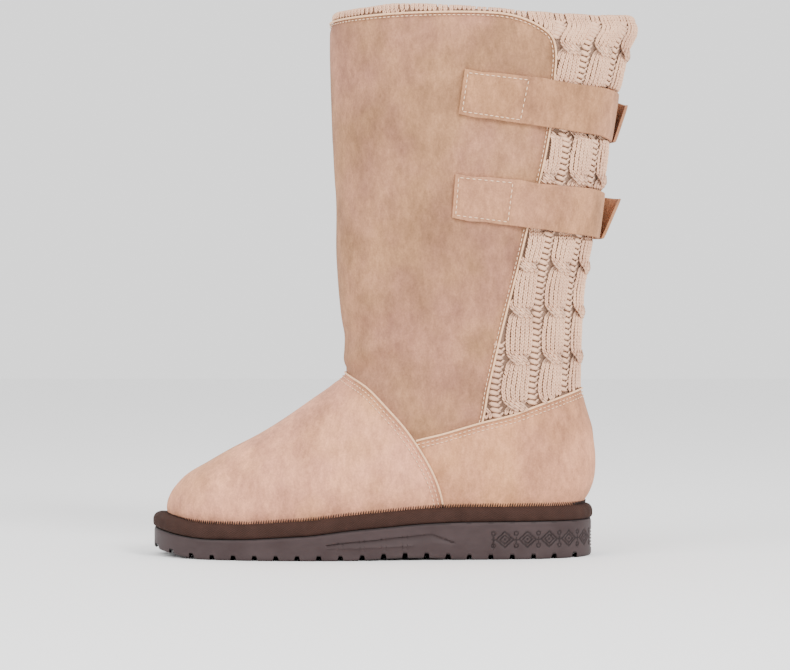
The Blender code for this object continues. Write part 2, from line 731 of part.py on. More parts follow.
def make_strap(collection, row, inner):
    """One strap, sewn to the shaft panel at its front and carried round the back.

    The outer side's strap runs on past the back; the inner side's lies over it, and its free end
    stands off at the back, most at its top corner.
    """
    half_rise = STRAP_WIDTH / 2 / UPPER_HEIGHT
    first = turn_at(section_at_rise(row.front_rise), world_x(row.front * SOLE_LENGTH))
    back_radius = BALL_WIDTH * SECTIONS[-1].half_width
    past = STRAP_OVERLAP / back_radius
    last = math.pi if inner else math.pi + past
    sewn = row.box
    mesh_builder = bmesh.new()
    rings = []
    for station in range(STRAP_STATIONS + 1):
        t = station / STRAP_STATIONS
        turn = first + (last - first) * t
        reach = min(1.0, (turn - first) / (math.pi - first))
        rise = row.front_rise + (row.back_rise - row.front_rise) * math.sin(reach * math.pi / 2)
        if turn > math.pi:
            rise = row.back_rise + (row.front_rise - row.back_rise) * (turn - math.pi) * 0.1
        run = reach * (1.0 - row.front) * SOLE_LENGTH
        lift = CLEARANCE + (STRAP_STAND_OFF - CLEARANCE) * smooth_step((run - sewn * 0.5) / SEWN_TO_FREE)
        over = smooth_step((turn - (math.pi - past * 1.6)) / (past * 0.5)) if inner else 0.0
        lift += over * (STRAP_THICKNESS + CLEARANCE)
        free = smooth_step((turn - (math.pi - past * 0.9)) / (past * 0.9)) if inner else 0.0
        side = -1 if inner else 1
        corners = []
        for edge, stand in ((1, row.top_lift), (-1, row.bottom_lift)):
            for outset in (lift + free * stand, lift + free * stand + STRAP_THICKNESS):
                corners.append(shaft_point(rise + edge * half_rise, side * turn, outset))
        top_in, top_out, bottom_in, bottom_out = corners
        rings.append(ring_verts(mesh_builder, (top_in, top_out, bottom_out, bottom_in)))
    fill_between(mesh_builder, rings, close_rows=False)
    mesh_builder.faces.new(rings[0])
    mesh_builder.faces.new(rings[-1])
    name = ("inner" if inner else "outer") + "_strap_" + row.name
    return object_from(name, mesh_builder, collection, SUEDE)


def main():
    """Builds the boot from the sole up."""
    clear_scene()
    boot = make_collection("winter_boot")
    cutters = make_collection("cutters")
    make_outsole(boot, cutters)
    make_band(boot)
    make_insole(boot)
    make_upper(boot)
    make_overlays(boot, cutters)
    for row in STRAPS:
        make_strap(boot, row, inner=False)
        make_strap(boot, row, inner=True)


main()
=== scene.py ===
"""Dressed winter boot: suede panels, cable knit, straps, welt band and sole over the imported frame."""
import logging
import math
from collections import namedtuple
from dataclasses import dataclass, field
from enum import Enum
from typing import Callable, Sequence

import bmesh
import bpy
import numpy as np
from mathutils import Matrix, Vector


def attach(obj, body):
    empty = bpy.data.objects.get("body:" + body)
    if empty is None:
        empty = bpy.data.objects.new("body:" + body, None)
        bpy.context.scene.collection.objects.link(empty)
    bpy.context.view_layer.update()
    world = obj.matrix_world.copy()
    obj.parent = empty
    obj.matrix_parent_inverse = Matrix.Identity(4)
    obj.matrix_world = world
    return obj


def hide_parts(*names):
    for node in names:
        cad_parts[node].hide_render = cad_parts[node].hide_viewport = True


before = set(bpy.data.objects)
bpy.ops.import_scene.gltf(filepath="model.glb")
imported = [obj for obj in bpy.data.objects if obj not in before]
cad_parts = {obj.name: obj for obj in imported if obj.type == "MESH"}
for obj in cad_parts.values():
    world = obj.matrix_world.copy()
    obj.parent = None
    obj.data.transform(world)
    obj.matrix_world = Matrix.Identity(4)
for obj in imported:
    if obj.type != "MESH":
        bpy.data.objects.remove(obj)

logging.basicConfig(level=logging.INFO, format="%(message)s")
LOG = logging.getLogger("boot")
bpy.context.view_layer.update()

SEED = 7
Array = np.ndarray
Colour = tuple[float, float, float]
Socket = bpy.types.NodeSocket
SHORT_RINGS = (0.0, 0.3, 0.7, 1.0)

Section = namedtuple("Section", "front front_rise back back_rise half_width foot hug")
OutlineRow = namedtuple("OutlineRow", "share outer inner")
RecessRow = namedtuple("RecessRow", "share lower upper")
LedgeRow = namedtuple("LedgeRow", "share rise")
SeamPoint = namedtuple("SeamPoint", "along rise")
StrapRow = namedtuple("StrapRow", "name front front_rise back_rise box top_lift bottom_lift drop")
RimRow = namedtuple("RimRow", "share drop")
Crease = namedtuple("Crease", "along rise angle length width depth")

# Rings of the upper from the sole to the collar. Places along the foot are shares of the sole's
# length, rises are shares of the upper's height, and half widths are shares of the ball's width.
SECTIONS = tuple(Section(*row) for row in (
    (0.0349, 0.0010, 0.9798, 0.0010, 0.431, 1.00, 1.00),
    (0.0310, 0.0290, 0.9835, 0.0300, 0.441, 1.00, 1.00),
    (0.0287, 0.0417, 0.9970, 0.0514, 0.460, 1.00, 0.90),
    (0.0331, 0.0565, 1.0059, 0.0736, 0.470, 0.95, 0.75),
    (0.0478, 0.0755, 1.0092, 0.0990, 0.470, 0.85, 0.60),
    (0.0779, 0.0990, 1.0085, 0.1275, 0.465, 0.70, 0.45),
    (0.1250, 0.1200, 1.0055, 0.1530, 0.455, 0.55, 0.30),
    (0.1783, 0.1444, 1.0026, 0.1783, 0.446, 0.42, 0.20),
    (0.2449, 0.1718, 0.9949, 0.2037, 0.441, 0.30, 0.10),
    (0.3066, 0.2027, 0.9853, 0.2322, 0.441, 0.20, 0.05),
    (0.3614, 0.2332, 0.9787, 0.2576, 0.446, 0.10, 0.00),
    (0.4050, 0.2592, 0.9783, 0.2814, 0.450, 0.05, 0.00),
    (0.4320, 0.2810, 0.9783, 0.3000, 0.455, 0.00, 0.00),
    (0.4371, 0.3060, 0.9790, 0.3220, 0.459, 0.00, 0.00),
    (0.4240, 0.4300, 0.9850, 0.4300, 0.474, 0.00, 0.00),
    (0.4200, 0.5000, 0.9960, 0.5000, 0.484, 0.00, 0.00),
    (0.4180, 0.5500, 1.0070, 0.5500, 0.491, 0.00, 0.00),
    (0.4154, 0.6360, 1.0190, 0.6360, 0.505, 0.00, 0.00),
    (0.4140, 0.6560, 1.0310, 0.6560, 0.508, 0.00, 0.00),
    (0.4100, 0.7320, 1.0430, 0.7320, 0.520, 0.00, 0.00),
    (0.4086, 0.7470, 1.0350, 0.7470, 0.522, 0.00, 0.00),
    (0.4052, 0.8290, 1.0500, 0.8290, 0.533, 0.00, 0.00),
    (0.4044, 0.8500, 1.0700, 0.8500, 0.536, 0.00, 0.00),
    (0.4030, 0.9180, 1.0880, 0.9180, 0.545, 0.00, 0.00),
    (0.4026, 0.9620, 1.1075, 0.9620, 0.548, 0.00, 0.00),
    (0.4060, 1.0000, 1.1000, 1.0000, 0.540, 0.00, 0.00),
))
SOLE_OUTLINE = tuple(OutlineRow(*row) for row in (
    (0.00, 1.30, 1.20), (0.05, 1.36, 1.20), (0.10, 1.28, 1.18), (0.20, 1.17, 1.12),
    (0.30, 1.09, 1.07), (0.38, 1.04, 1.00), (0.50, 0.96, 0.87), (0.60, 0.91, 0.77),
    (0.70, 0.91, 0.78), (0.80, 0.98, 0.90), (0.90, 1.11, 1.07), (1.00, 1.26, 1.26),
))
LEG_OUTLINE = tuple(OutlineRow(*row) for row in (
    (0.00, 1.05, 1.05), (0.25, 1.01, 1.01), (0.50, 1.00, 1.00), (0.80, 0.99, 0.99),
    (1.00, 1.02, 1.02),
))
LEDGE_RISE = tuple(LedgeRow(*row) for row in (
    (0.00, 0.00), (0.20, 0.00), (0.32, 0.17), (0.37, 0.26), (0.41, 0.40), (0.46, 0.56),
    (0.52, 0.70), (0.62, 0.92), (0.72, 1.00), (1.00, 1.00),
))
RECESS = tuple(RecessRow(*row) for row in (
    (0.399, 0.0081, 0.0099), (0.474, 0.0081, 0.0117), (0.580, 0.0092, 0.0145),
    (0.6335, 0.0099, 0.0159), (0.6865, 0.0099, 0.0105),
))
VAMP_SEAM = tuple(SeamPoint(*row) for row in (
    (0.330, 0.3700), (0.395, 0.3150), (0.4434, 0.2830), (0.4893, 0.2573), (0.5342, 0.2183),
    (0.5783, 0.1748), (0.6221, 0.1168), (0.6480, 0.0680), (0.6600, 0.0200), (0.6640, -0.0600),
))
COUNTER_SEAM = tuple(SeamPoint(*row) for row in (
    (0.5200, 0.1350), (0.5985, 0.1570), (0.6563, 0.1691), (0.7434, 0.1907), (0.8125, 0.2050),
    (0.8640, 0.2208), (0.9100, 0.2348), (0.9610, 0.2503), (0.9950, 0.2600), (1.1000, 0.2830),
))
KNIT_SEAM = tuple(SeamPoint(*row) for row in (
    (0.7220, 0.1300), (0.7467, 0.1948), (0.7599, 0.2595), (0.7923, 0.3798), (0.8261, 0.4940),
    (0.8463, 0.5673), (0.8779, 0.6735), (0.8974, 0.7633), (0.9059, 0.8553), (0.9085, 0.9000),
    (0.8990, 0.9300), (0.8655, 0.9520), (0.8100, 0.9690), (0.7445, 0.9745), (0.5900, 0.9760),
    (0.4500, 0.9740), (0.3600, 0.9730),
))
STRAPS = tuple(StrapRow(*row) for row in (
    ("upper", 0.6950, 0.8250, 0.7880, 0.040, 0.0052, 0.0004, 0.0064),
    ("lower", 0.6800, 0.6260, 0.5940, 0.036, 0.0086, 0.0006, 0.0034),
))
CREASES = tuple(Crease(*row) for row in (
    (0.505, 0.330, 28, 0.060, 0.0060, 0.00180), (0.500, 0.372, 14, 0.052, 0.0070, -0.00120),
    (0.560, 0.288, 40, 0.040, 0.0060, 0.00120), (0.640, 0.400, -8, 0.080, 0.0110, 0.00105),
    (0.610, 0.520, 78, 0.120, 0.0160, 0.00105), (0.520, 0.700, 84, 0.140, 0.0150, 0.00090),
    (0.800, 0.115, 62, 0.034, 0.0070, 0.00090), (0.905, 0.130, 84, 0.040, 0.0080, 0.00075),
    (0.300, 0.085, 12, 0.060, 0.0100, 0.00090), (0.180, 0.060, 30, 0.034, 0.0080, 0.00075),
))
# How far the collar's edge hangs lower, by its share of the way from front to back.
RIM_DROP = tuple(RimRow(*row) for row in (
    (0.000, 0.0012), (0.065, 0.0015), (0.216, 0.0000), (0.360, 0.0017), (0.523, 0.0038),
    (0.605, 0.0053), (0.752, 0.0062), (0.882, 0.0059), (0.987, 0.0030), (1.000, 0.0028),
))


class Side(Enum):
    """The two sides of the foot."""

    OUTER = 1
    INNER = -1


def smooth_step(value: Array | float) -> Array | float:
    """Eases a share from 0 to 1 with level ends.

    Args:
        value: the share, of any size.
    Returns:
        The eased share, between 0 and 1.
    """
    value = np.clip(value, 0.0, 1.0)
    return value * value * (3 - 2 * value)


def read_table(rows: Sequence, column: str, share: Array) -> Array:
    """Reads one column of a table smoothly, by its first column.

    Args:
        rows: the table, in rising order of its first column.
        column: name of the column to read.
        share: where to read.
    Returns:
        The column's values there.
    """
    keys = np.array([row[0] for row in rows])
    values = np.array([getattr(row, column) for row in rows])
    return hermite(keys, values, share)


def hermite(keys: Array, values: Array, at: Array) -> Array:
    """Smooth reading between keys, with slopes taken from each key's neighbours.

    Args:
        keys: rising positions.
        values: the value at each key.
        at: where to read.
    Returns:
        The values there.
    """
    at = np.clip(np.asarray(at, dtype=float), keys[0], keys[-1])
    low = np.clip(np.searchsorted(keys, at, side="right") - 1, 0, len(keys) - 2)
    before, after = np.maximum(low - 1, 0), np.minimum(low + 2, len(keys) - 1)
    span = keys[low + 1] - keys[low]
    t = (at - keys[low]) / span
    leave = (values[low + 1] - values[before]) / (keys[low + 1] - keys[before]) * span
    arrive = (values[after] - values[low]) / (keys[after] - keys[low]) * span
    return (
        (2 * t**3 - 3 * t**2 + 1) * values[low]
        + (t**3 - 2 * t**2 + t) * leave
        + (3 * t**2 - 2 * t**3) * values[low + 1]
        + (t**3 - t**2) * arrive
    )


def unit(vectors: Array) -> Array:
    """Vectors of length one along the last axis."""
    return vectors / np.maximum(np.linalg.norm(vectors, axis=-1, keepdims=True), 1e-12)


def distances(points: Array) -> Array:
    """Distance along a line of points, from its first one."""
    return np.concatenate([[0], np.cumsum(np.linalg.norm(np.diff(points, axis=0), axis=1))])


def dimmed(colour: Colour, factor: float) -> Colour:
    """A colour made darker or lighter, up to full strength."""
    return tuple(min(1.0, part * factor) for part in colour)


@dataclass
class BootForm:
    """The boot's form: sole outline, ledge, tread and the rings of the upper, in metres."""

    sole_length: float = 0.272
    ball_width: float = 0.101
    forefoot_thickness: float = 0.0126
    heel_thickness: float = 0.0228
    toe_spring: float = 0.0046
    toe_spring_share: float = 0.13
    arch_rise: float = 0.0015
    arch_from: float = 0.42
    arch_to: float = 0.75
    heel_rest_from_back: float = 0.0444
    upper_height: float = 0.3152
    toe_swing: float = 0.0040

    def world_x(self, from_toe: Array) -> Array:
        """X of a distance behind the sole's toe."""
        return from_toe - (self.sole_length - self.heel_rest_from_back)

    def share_at(self, x: Array) -> Array:
        """Share of the sole's length at an X."""
        return np.clip((x + self.sole_length - self.heel_rest_from_back) / self.sole_length, 0.0, 1.0)

    def toe_curl(self, share: Array) -> Array:
        """How much of the toe spring is reached at a share of the length."""
        return np.maximum(0.0, 1 - np.asarray(share) / self.toe_spring_share) ** 1.5

    def ledge_height(self, share: Array) -> Array:
        """Height of the ledge on the sole that carries the upper and the band."""
        rise = (self.heel_thickness - self.forefoot_thickness) * read_table(LEDGE_RISE, "rise", share)
        return self.forefoot_thickness + rise + self.toe_spring * self.toe_curl(share)

    def tread_height(self, share: Array) -> Array:
        """Height of the sole's underside, with toe spring and arch.

        Args:
            share: share of the sole's length.
        Returns:
            Heights in metres.
        """
        share = np.asarray(share)
        inside = np.clip((share - self.arch_from) / (self.arch_to - self.arch_from), 0.0, 1.0)
        return self.toe_spring * self.toe_curl(share) + self.arch_rise * np.sin(np.pi * inside) ** 2

    def fullness(self, rows: Sequence[OutlineRow], turn: Array) -> Array:
        """How full an outline is at a turn, on the side that the turn is on.

        Args:
            rows: the outline's table.
            turn: the angle round the ring.
        Returns:
            Factors of the half width.
        """
        share = (1 - np.cos(turn)) / 2
        outer, inner = read_table(rows, "outer", share), read_table(rows, "inner", share)
        blend = np.clip(np.sin(turn) * 6, -1, 1) / 2 + 0.5
        return inner + (outer - inner) * blend

    def sole_point(self, turn: Array, inset: Array | float = 0.0) -> Array:
        """(x, y) on the sole's outline, moved inwards.

        Args:
            turn: 0 at the toe, pi at the heel, positive on the outer side.
            inset: distance inwards.
        Returns:
            An array of (x, y).
        """
        def on_outline(angle: Array) -> Array:
            share = (1 - np.cos(angle)) / 2
            swing = self.toe_swing * np.maximum(0.0, 1 - share / 0.35) ** 2
            y = swing - self.ball_width / 2 * self.fullness(SOLE_OUTLINE, angle) * np.sin(angle)
            return np.stack([self.world_x(self.sole_length * share), y], axis=-1)

        point = on_outline(turn)
        run = unit(on_outline(turn + 0.01) - on_outline(turn - 0.01))
        inset = np.asarray(inset)[..., None] if np.ndim(inset) else inset
        return point + inset * np.stack([-run[..., 1], run[..., 0]], axis=-1)

    def skin(self, level: Array, turn: Array) -> Array:
        """Points on the finished upper's form.

        Args:
            level: position between the rows of SECTIONS, as a decimal.
            turn: the angle round the ring, as for the sole.
        Returns:
            An array of (x, y, z).
        """
        rows = np.array(SECTIONS)
        keys = np.arange(len(SECTIONS), dtype=float)
        front, front_rise, back, back_rise, half_width, foot, hug = (
            hermite(keys, rows[:, column], level) for column in range(7)
        )
        share = (1 - np.cos(turn)) / 2
        x = self.world_x((front + (back - front) * share) * self.sole_length)
        full = foot * self.fullness(SOLE_OUTLINE, turn) + (1 - foot) * self.fullness(LEG_OUTLINE, turn)
        swing = self.toe_swing * foot * np.maximum(0.0, 1 - share / 0.35) ** 2
        y = swing - self.ball_width * half_width * full * np.sin(turn)
        rise = front_rise + (back_rise - front_rise) * share
        ledge = self.heel_thickness + hug * (self.ledge_height(self.share_at(x)) - self.heel_thickness)
        return np.stack([x, y, ledge + rise * self.upper_height], axis=-1)

    def rim_drop(self, z: Array, turn: Array) -> Array:
        """How far the soft collar hangs lower than the solid one.

        Args:
            z: height on the skin.
            turn: place round the leg.
        Returns:
            The drop, which fades out below the collar.
        """
        drop = np.interp((1 - np.cos(turn)) / 2, *np.array(RIM_DROP).T)
        return drop * smooth_step((z - self.heel_thickness - self.upper_height + 0.026) / 0.022)

    def axes(self, level: Array, turn: Array) -> tuple[Array, Array, Array, Array]:
        """Places on the form with their three directions.

        Args:
            level: position between the rows of SECTIONS, as a decimal.
            turn: the angle round the ring.
        Returns:
            Points, directions round the ring, directions up and outward normals.
        """
        level, turn = np.asarray(level, dtype=float), np.asarray(turn, dtype=float)
        last = len(SECTIONS) - 1
        point = self.skin(level, turn)
        around = unit(self.skin(level, turn + 0.01) - self.skin(level, turn - 0.01))
        above, below = np.minimum(level + 0.2, last), np.maximum(level - 0.2, 0)
        up = unit(self.skin(above, turn) - self.skin(below, turn))
        normal = unit(np.cross(around, up))
        return point, around, unit(np.cross(normal, around)), normal

    def find(self, x: Array, z: Array, side: Side) -> tuple[Array, Array]:
        """The level and turn where the form shows at (x, z) in side view.

        Args:
            x: positions along the foot.
            z: heights.
            side: the side of the foot.
        Returns:
            Arrays of levels and turns.
        """
        x, z = np.asarray(x, dtype=float), np.asarray(z, dtype=float)
        last = len(SECTIONS) - 1
        samples = np.linspace(0, last, 400)
        turn = np.full_like(x, math.pi / 2)
        level = np.zeros_like(x)
        for _ in range(14):
            for at in range(len(x)):
                heights = self.skin(samples, np.full_like(samples, turn[at]))[:, 2]
                level[at] = np.interp(z[at], heights, samples)
            front = self.skin(level, np.zeros_like(x))[:, 0]
            back = self.skin(level, np.full_like(x, math.pi))[:, 0]
            share = np.clip((x - front) / (back - front), 0.0, 1.0)
            turn = np.arccos(1 - 2 * share)
        return level, turn * side.value

    def seam(self, points: Sequence[SeamPoint], step: float = 0.0012) -> Array:
        """A seam's line in side view, evenly and finely spaced.

        Args:
            points: the seam's table.
            step: distance between points.
        Returns:
            An array of (x, z).
        """
        raw = np.array(points)
        height = self.heel_thickness + raw[:, 1] * self.upper_height
        line = np.stack([self.world_x(raw[:, 0] * self.sole_length), height], -1)
        along = distances(line)
        at = np.linspace(0, along[-1], max(int(along[-1] / step), 2))
        return np.stack([hermite(along, line[:, 0], at), hermite(along, line[:, 1], at)], -1)


FORM = BootForm()


def shifted(line: Array, distance: float) -> Array:
    """A side-view line moved to its left along its course.

    Args:
        line: the line's points, (x, z).
        distance: how far, negative to the right.
    Returns:
        The moved points.
    """
    run = unit(np.gradient(line, axis=0))
    return line + distance * np.stack([-run[:, 1], run[:, 0]], -1)


def left_of(line: Array, x: Array, z: Array) -> Array:
    """Signed distance of side-view points to the left of a line.

    Args:
        line: the line's points, (x, z).
        x: positions along the foot.
        z: heights.
    Returns:
        Distances, positive on the line's left.
    """
    coarse = line[:: max(len(line) // 90, 1)]
    if not np.allclose(coarse[-1], line[-1]):
        coarse = np.vstack([coarse, line[-1]])
    start, run = coarse[:-1], np.diff(coarse, axis=0)
    best = np.full(x.shape, np.inf)
    signed = np.zeros(x.shape)
    for at in range(len(run)):
        dx, dz = x - start[at, 0], z - start[at, 1]
        t = (dx * run[at, 0] + dz * run[at, 1]) / (run[at] @ run[at])
        low = -np.inf if at == 0 else 0.0
        high = np.inf if at == len(run) - 1 else 1.0
        t = np.clip(t, low, high)
        px, pz = dx - t * run[at, 0], dz - t * run[at, 1]
        distance = np.hypot(px, pz)
        side = np.where(run[at, 0] * dz - run[at, 1] * dx >= 0, 1.0, -1.0)
        closer = distance < best
        best = np.where(closer, distance, best)
        signed = np.where(closer, side * distance, signed)
    return signed


class Seams:
    """The three seams and the panels' signed distances to them."""

    def __init__(self, form: BootForm) -> None:
        """Lays the seams' lines on a form."""
        self.vamp = form.seam(VAMP_SEAM)
        self.counter = form.seam(COUNTER_SEAM)
        self.knit = form.seam(KNIT_SEAM)

    def in_vamp(self, x: Array, z: Array) -> Array:
        """Distance inside the vamp."""
        return -left_of(self.vamp, x, z)

    def in_counter(self, x: Array, z: Array) -> Array:
        """Distance inside the heel counter."""
        return np.minimum(left_of(self.vamp, x, z), -left_of(self.counter, x, z))

    def in_shaft(self, x: Array, z: Array) -> Array:
        """Distance inside the suede shaft panel."""
        above = np.minimum(left_of(self.vamp, x, z), left_of(self.counter, x, z))
        return np.minimum(above, left_of(self.knit, x, z))

    def in_knit(self, x: Array, z: Array) -> Array:
        """Distance inside the knit sleeve."""
        return np.minimum(left_of(self.counter, x, z), -left_of(self.knit, x, z))


SEAMS = Seams(FORM)


# Finishes


class Bench:
    """Wires up one procedural material."""

    def __init__(self, name: str, roughness: float, sheen: float = 0.0, specular: float = 0.3) -> None:
        """Makes the material with its shader and object coordinates.

        Args:
            name: the material's name.
            roughness: the shader's roughness.
            sheen: weight of its sheen.
            specular: level of its reflections.
        """
        self.material = bpy.data.materials.new(name)
        self.material.use_nodes = True
        self.tree = self.material.node_tree
        self.shader = self.tree.nodes["Principled BSDF"]
        self.shader.inputs["Roughness"].default_value = roughness
        self.shader.inputs["Specular IOR Level"].default_value = specular
        self.shader.inputs["Sheen Weight"].default_value = sheen
        self.shader.inputs["Sheen Roughness"].default_value = 0.5
        self.place = self.tree.nodes.new("ShaderNodeTexCoord").outputs["Object"]

    def join(self, source: Socket, target: Socket) -> None:
        """Links one socket to another."""
        self.tree.links.new(source, target)

    def stretched(self, scale: Sequence[float], turn: Sequence[float] = (0, 0, 0)) -> Socket:
        """Object coordinates, turned and scaled along each axis.

        Args:
            scale: factor along each axis.
            turn: angle about each axis, in radians.
        Returns:
            The coordinates.
        """
        node = self.tree.nodes.new("ShaderNodeMapping")
        node.inputs["Rotation"].default_value = turn
        node.inputs["Scale"].default_value = scale
        self.join(self.place, node.inputs["Vector"])
        return node.outputs["Vector"]

    def noise(
        self,
        scale: float,
        detail: float = 2.0,
        rough: float = 0.5,
        place: Socket | None = None,
    ) -> Socket:
        """A noise value over the surface.

        Args:
            scale: lumps per metre, roughly.
            detail: octaves.
            rough: weight of the finer octaves.
            place: coordinates, or else the material's own.
        Returns:
            The value.
        """
        node = self.tree.nodes.new("ShaderNodeTexNoise")
        node.inputs["Scale"].default_value = scale
        node.inputs["Detail"].default_value = detail
        node.inputs["Roughness"].default_value = rough
        self.join(place or self.place, node.inputs["Vector"])
        return node.outputs["Fac"]

    def ramp(self, value: Socket, stops: Sequence[tuple[float, Colour]]) -> Socket:
        """A value turned into a colour.

        Args:
            value: the value.
            stops: (position, colour) pairs of the ramp.
        Returns:
            The colour.
        """
        node = self.tree.nodes.new("ShaderNodeValToRGB")
        points = node.color_ramp.elements
        while len(points) < len(stops):
            points.new(0.5)
        for point, (at, colour) in zip(points, stops):
            point.position = at
            point.color = (*colour, 1.0)
        self.join(value, node.inputs["Fac"])
        return node.outputs["Color"]

    def level(self, value: Socket, low: float, high: float, start: float = 0.0, end: float = 1.0) -> Socket:
        """A value's range, clamped and moved to another range.

        Args:
            value: the value.
            low: bottom of its range.
            high: top of its range.
            start: what the bottom becomes.
            end: what the top becomes.
        Returns:
            The moved value.
        """
        node = self.tree.nodes.new("ShaderNodeMapRange")
        for name, number in (("From Min", low), ("From Max", high), ("To Min", start), ("To Max", end)):
            node.inputs[name].default_value = number
        self.join(value, node.inputs["Value"])
        return node.outputs["Result"]

    def mix(
        self, factor: Socket | float, first: Socket | Colour, second: Socket | Colour, way: str = "MIX"
    ) -> Socket:
        """Two colours mixed by a factor. Each may be a socket or a plain value.

        Args:
            factor: share of the second.
            first: a colour.
            second: another colour.
            way: how they are mixed.
        Returns:
            The mixed colour.
        """
        node = self.tree.nodes.new("ShaderNodeMix")
        node.data_type = "RGBA"
        node.blend_type = way
        for socket, given in ((node.inputs[0], factor), (node.inputs[6], first), (node.inputs[7], second)):
            if isinstance(given, Socket):
                self.join(given, socket)
            elif isinstance(given, (int, float)):
                socket.default_value = given
            else:
                socket.default_value = (*given, 1.0)
        return node.outputs[2]

    def math(self, operation: str, first: Socket | float, second: Socket | float = 0.0) -> Socket:
        """One step of arithmetic on sockets or numbers.

        Args:
            operation: its name in the math node.
            first: first value.
            second: second value, where the operation has one.
        Returns:
            The result.
        """
        node = self.tree.nodes.new("ShaderNodeMath")
        node.operation = operation
        for socket, given in zip(node.inputs, (first, second)):
            if isinstance(given, Socket):
                self.join(given, socket)
            else:
                socket.default_value = given
        return node.outputs[0]

    def attribute(self, name: str) -> Socket:
        """A value that the mesh carries."""
        node = self.tree.nodes.new("ShaderNodeAttribute")
        node.attribute_name = name
        return node.outputs["Fac"]

    def bump(self, height: Socket, distance: float, strength: float = 1.0) -> None:
        """Bump from a height, over any bump that is there already.

        Args:
            height: the height's value.
            distance: how far a full step of it reaches, in metres.
            strength: share of its effect.
        """
        node = self.tree.nodes.new("ShaderNodeBump")
        node.inputs["Distance"].default_value = distance
        node.inputs["Strength"].default_value = strength
        self.join(height, node.inputs["Height"])
        target = self.shader.inputs["Normal"]
        if target.is_linked:
            self.join(target.links[0].from_socket, node.inputs["Normal"])
        self.join(node.outputs["Normal"], target)

    def colour(self, socket: Socket) -> None:
        """The base colour."""
        self.join(socket, self.shader.inputs["Base Color"])


@dataclass(frozen=True)
class Suede:
    """Brushed suede: patches of tan and rose, lighter and darker strokes of the nap, fine grain."""

    name: str
    tan: Colour
    rose: Colour
    swirl: float = 0.0
    patch_scale: float = 17.0
    blotch_scale: float = 30.0
    stroke_scale: float = 75.0
    brush_scale: float = 260.0
    speck_scale: float = 900.0
    fibre_scale: float = 1500.0
    blotches: tuple[float, float] = (0.82, 1.16)
    brushing: tuple[float, float] = (0.88, 1.12)
    specks: tuple[float, float] = (0.90, 1.09)
    edge_darkness: float = 0.35

    def build(self) -> bpy.types.Material:
        """Makes the material, with its clouds turned by the swirl."""
        bench = Bench(self.name, 0.92, sheen=0.06, specular=0.12)
        place = bench.stretched((1.0, 0.9, 0.85), (0.3, 0.2, 0.5 + self.swirl))
        patch = bench.noise(self.patch_scale, 3.0, 0.6, place)
        base = bench.ramp(patch, ((0.40, self.tan), (0.60, self.rose)))
        place = bench.stretched((1.2, 1.0, 0.6), (0.1, 0.5, self.swirl))
        stroke = bench.noise(self.stroke_scale, 5.0, 0.65, place)
        nap = ((0.35, dimmed(self.tan, 0.70)), (0.50, self.tan), (0.65, dimmed(self.tan, 1.30)))
        tinted = bench.mix(0.50, base, bench.ramp(stroke, nap))
        place = bench.stretched((1.0, 1.0, 0.8), (0.7, 0.1, 0.2 + self.swirl))
        blotch = bench.level(bench.noise(self.blotch_scale, 4.0, 0.6, place), 0.36, 0.64, *self.blotches)
        brush = bench.noise(self.brush_scale, 4.0, 0.7, bench.stretched((1.5, 1.0, 0.7), (0.2, 0.9, 0.4)))
        speck = bench.level(bench.noise(self.speck_scale), 0.3, 0.7, *self.specks)
        shade = bench.math("MULTIPLY", blotch, bench.level(brush, 0.35, 0.65, *self.brushing))
        tinted = bench.mix(1.0, tinted, bench.math("MULTIPLY", shade, speck), "MULTIPLY")
        # Darker towards the panel's edges, by the value that the panel carries there.
        edge_darkening = bench.level(bench.attribute("rub"), 0.0, 1.0, 0.0, self.edge_darkness)
        bench.colour(bench.mix(edge_darkening, tinted, dimmed(self.tan, 0.62)))
        bench.bump(stroke, 0.0006, 0.5)
        bench.bump(brush, 0.0003, 0.5)
        bench.bump(bench.noise(self.fibre_scale, 3.0, 0.6), 0.00025, 0.6)
        return bench.material


@dataclass(frozen=True)
class Yarn:
    """Wool yarn: twisted plies along the strand and a soft fuzz, with painted shade from the mesh's depth
    attribute where it lies low or behind other yarn.
    """

    name: str
    light: Colour
    shade: Colour
    painted_shade_tint: Colour = (0.35, 0.39, 0.46)
    painted_shade_limit: float = 0.75
    patch_scale: float = 38.0
    ply_scale: float = 2600.0

    def build(self) -> bpy.types.Material:
        """Makes the material."""
        bench = Bench(self.name, 0.95, sheen=0.06, specular=0.10)
        patch = bench.noise(self.patch_scale, 3.0, 0.6)
        base = bench.ramp(patch, ((0.35, self.shade), (0.62, self.light)))
        # Painted shade: the depth attribute mixes the colour towards a darker, greyer tone of the yarn.
        painted_shade = bench.level(bench.attribute("depth"), 0.0, 1.0, 0.0, self.painted_shade_limit)
        dark = tuple(part * factor for part, factor in zip(self.shade, self.painted_shade_tint))
        bench.colour(bench.mix(painted_shade, base, dark))
        bench.bump(bench.noise(self.ply_scale, 2.0, 0.6, bench.stretched((1.0, 1.0, 0.35))), 0.0003, 0.7)
        return bench.material


@dataclass(frozen=True)
class Fleece:
    """Curly pile of the lining, lighter in the middle of each curl and with painted shade between the
    curls.
    """

    name: str
    tint: Colour
    curl_scale: float = 330.0
    fuzz_scale: float = 1800.0

    def build(self) -> bpy.types.Material:
        """Makes the material."""
        bench = Bench(self.name, 1.0, sheen=0.12, specular=0.1)
        curl = bench.tree.nodes.new("ShaderNodeTexVoronoi")
        curl.inputs["Scale"].default_value = self.curl_scale
        bench.join(bench.place, curl.inputs["Vector"])
        # Painted light and shade: lighter in each curl's middle, darker between curls, from the field that
        # also raises them.
        tips = ((0.1, dimmed(self.tint, 1.12)), (0.75, dimmed(self.tint, 0.72)))
        bench.colour(bench.ramp(curl.outputs["Distance"], tips))
        bench.bump(bench.math("SUBTRACT", 1.0, curl.outputs["Distance"]), 0.0015, 0.9)
        bench.bump(bench.noise(self.fuzz_scale, 3.0, 0.6), 0.0003, 0.6)
        return bench.material


